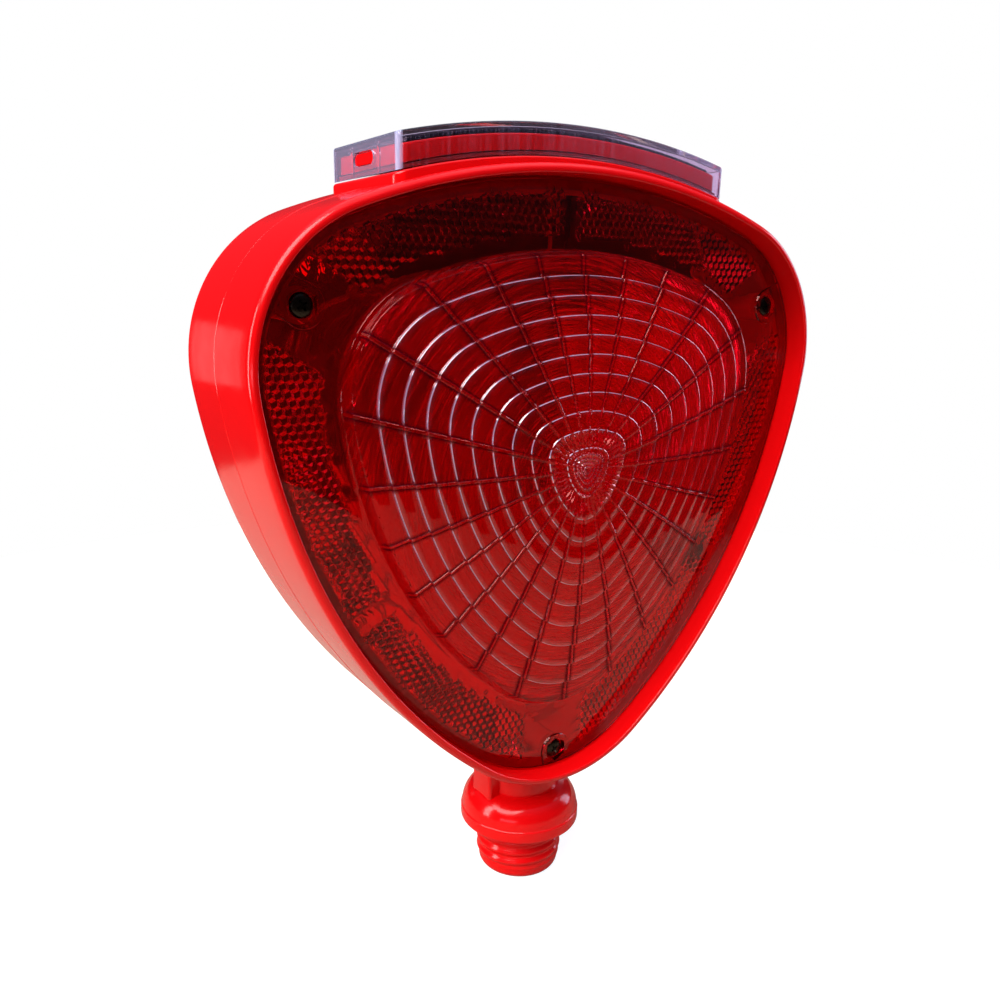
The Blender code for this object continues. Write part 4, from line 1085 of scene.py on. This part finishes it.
# ---------------------------------------- stage, camera and light
def make_stage():
    """A round floor just under the stem: tan in reflections, like the photo's ground, else pale."""
    radius, thick, steps = 0.5, 0.01, 96
    floor_top = -STEM_LENGTH * MM - 0.0001
    floor = loft("floor", [circle(radius, z, full_turn(steps)) for z in (floor_top, floor_top - thick)])
    material, tree = new_material("pale_floor")
    paint = mix_colour(tree, noise(tree, 3.0), (0.33, 0.26, 0.20), (0.35, 0.28, 0.22))
    shader = node(tree, "ShaderNodeBsdfDiffuse", Color=paint)
    glow = node(tree, "ShaderNodeEmission", Color=(0.86, 0.90, 0.94, 1.0), Strength=1.0)
    bright = node(tree, "ShaderNodeAddShader", _0=shader.outputs[0], _1=glow.outputs[0])
    seen = by_ray(tree, "Is Camera Ray", shader.outputs[0], bright.outputs[0])
    finish_material(material, tree, seen, (0.8, 0.8, 0.8))
    floor.data.materials.append(material)


def make_camera():
    """The photo's camera, from fitting the outlines of the rim, the dome, the flange and the stem."""
    camera = bpy.data.cameras.new("camera")
    camera.sensor_width = 36.0
    camera.lens = 32.08
    camera.shift_x = 0.0178
    camera.shift_y = 0.068
    camera.clip_start = 0.01
    item = new_object("camera", camera)
    yaw, pitch, roll = (math.radians(angle) for angle in (33.0, 17.44, 0.81))
    ahead = Vector((math.sin(yaw) * math.cos(pitch), math.cos(yaw) * math.cos(pitch), -math.sin(pitch)))
    level = Vector((math.cos(yaw), -math.sin(yaw), 0.0))
    upright = level.cross(ahead)
    right = math.cos(roll) * level + math.sin(roll) * upright
    up = -math.sin(roll) * level + math.cos(roll) * upright
    turn = Matrix((right, up, -ahead)).transposed().to_4x4()
    item.matrix_world = Matrix.Translation((-0.15897, -0.21924, 0.17301)) @ turn
    bpy.context.scene.camera = item


def area_light(name, place, target, size, radiance, colour):
    """A soft panel light of this radiance, kept out of the camera's direct view."""
    light = bpy.data.lights.new(name, "AREA")
    light.shape = "RECTANGLE"
    light.size, light.size_y = size
    light.energy = radiance * math.pi * size[0] * size[1]
    light.color = colour
    item = new_object(name, light)
    aim = (Vector(target) - Vector(place)).to_track_quat("-Z", "Y").to_matrix().to_4x4()
    item.matrix_world = Matrix.Translation(place) @ aim
    item.visible_camera = False


def sun_light(name, direction, energy, angle, colour=(1.0, 1.0, 1.0)):
    """Broad light of the open sky from around this direction."""
    light = bpy.data.lights.new(name, "SUN")
    light.energy = energy
    light.angle = math.radians(angle)
    light.color = colour
    item = new_object(name, light)
    item.matrix_world = Vector(direction).to_track_quat("Z", "Y").to_matrix().to_4x4()


def make_world():
    """A dim room with a soft sky for reflections, and plain white behind the lamp."""
    world = bpy.data.worlds.new("studio")
    bpy.context.scene.world = world
    world.use_nodes = True
    tree = world.node_tree
    tree.nodes.clear()
    sky = tree.nodes.new("ShaderNodeTexCoord").outputs["Generated"]
    height = node(tree, "ShaderNodeSeparateXYZ", _0=sky).outputs["Z"]
    ramp = node(tree, "ShaderNodeValToRGB", _0=remap(tree, height, 0.0, 1.0, -1.0, 1.0))
    stops = [(0.0, (0.04, 0.03, 0.03)), (0.5, (0.04, 0.03, 0.035)), (0.72, (0.06, 0.05, 0.07)),
             (0.86, (0.22, 0.23, 0.36)), (1.0, (0.40, 0.46, 0.70))]
    for position, _ in stops[1:-1]:
        ramp.color_ramp.elements.new(position)
    for element, (position, colour) in zip(ramp.color_ramp.elements, stops):
        element.position = position
        element.color = (*colour, 1.0)
    room = node(tree, "ShaderNodeBackground", Color=ramp.outputs[0], Strength=1.0)
    seen = node(tree, "ShaderNodeBackground", Color=(1.0, 1.0, 1.0, 1.0), Strength=1.0)
    surface = by_ray(tree, "Is Camera Ray", room.outputs[0], seen.outputs[0])
    node(tree, "ShaderNodeOutputWorld", Surface=surface)


def make_lights():
    make_world()
    sun_light("sky_high_left", (-0.52, -0.19, 0.83), 5.3, 50)
    sun_light("sky_overhead", (0.15, 0.1, 1.0), 0.6, 70, (0.95, 0.97, 1.0))
    for light in (
        ("window_left", (-0.62, 0.10, 0.22), (-0.05, 0, 0.10), (0.14, 0.45), 12.0, (1.0, 0.95, 0.95)),
        ("window_back_left", (-0.23, 0.45, 0.15), (-0.094, 0, 0.155), (0.06, 0.13), 0.55, (1.0, 0.8, 0.8)),
        ("sky_right", (0.75, 0.60, 0.24), (0.03, 0, 0.13), (0.30, 0.50), 1.6, (0.80, 0.82, 1.0)),
        ("window_right", (0.80, -0.15, 0.27), (0.03, 0, 0.14), (0.24, 0.46), 7.0, (0.80, 0.76, 1.0)),
        ("window_low_left", (-0.72, -0.50, 0.10), (-0.03, 0, 0.12), (0.45, 0.10), 4.0, (0.80, 0.84, 1.0)),
    ):
        area_light(*light)
    bpy.context.scene.view_settings.view_transform = "Standard"


def dress_frame_nodes():
    """Materials for the CAD nodes that stay as they are."""
    slots = {row["node"]: row["material_slot"] for row in frame["record"]["subparts"]}
    for name, item in frame["nodes"].items():
        for slot in item.material_slots:
            slot.link = "OBJECT"
            slot.material = MATERIALS[slots[name]]


dress_frame_nodes()
make_camera()
make_housing()
make_lens("front_lens_visual", "front_lens", Matrix())
make_lens("rear_lens_visual", "rear_lens", Matrix.Rotation(math.pi, 4, "Z"))
make_lens_screws()
make_tray()
make_panel()
make_cover()
make_stage()
make_lights()
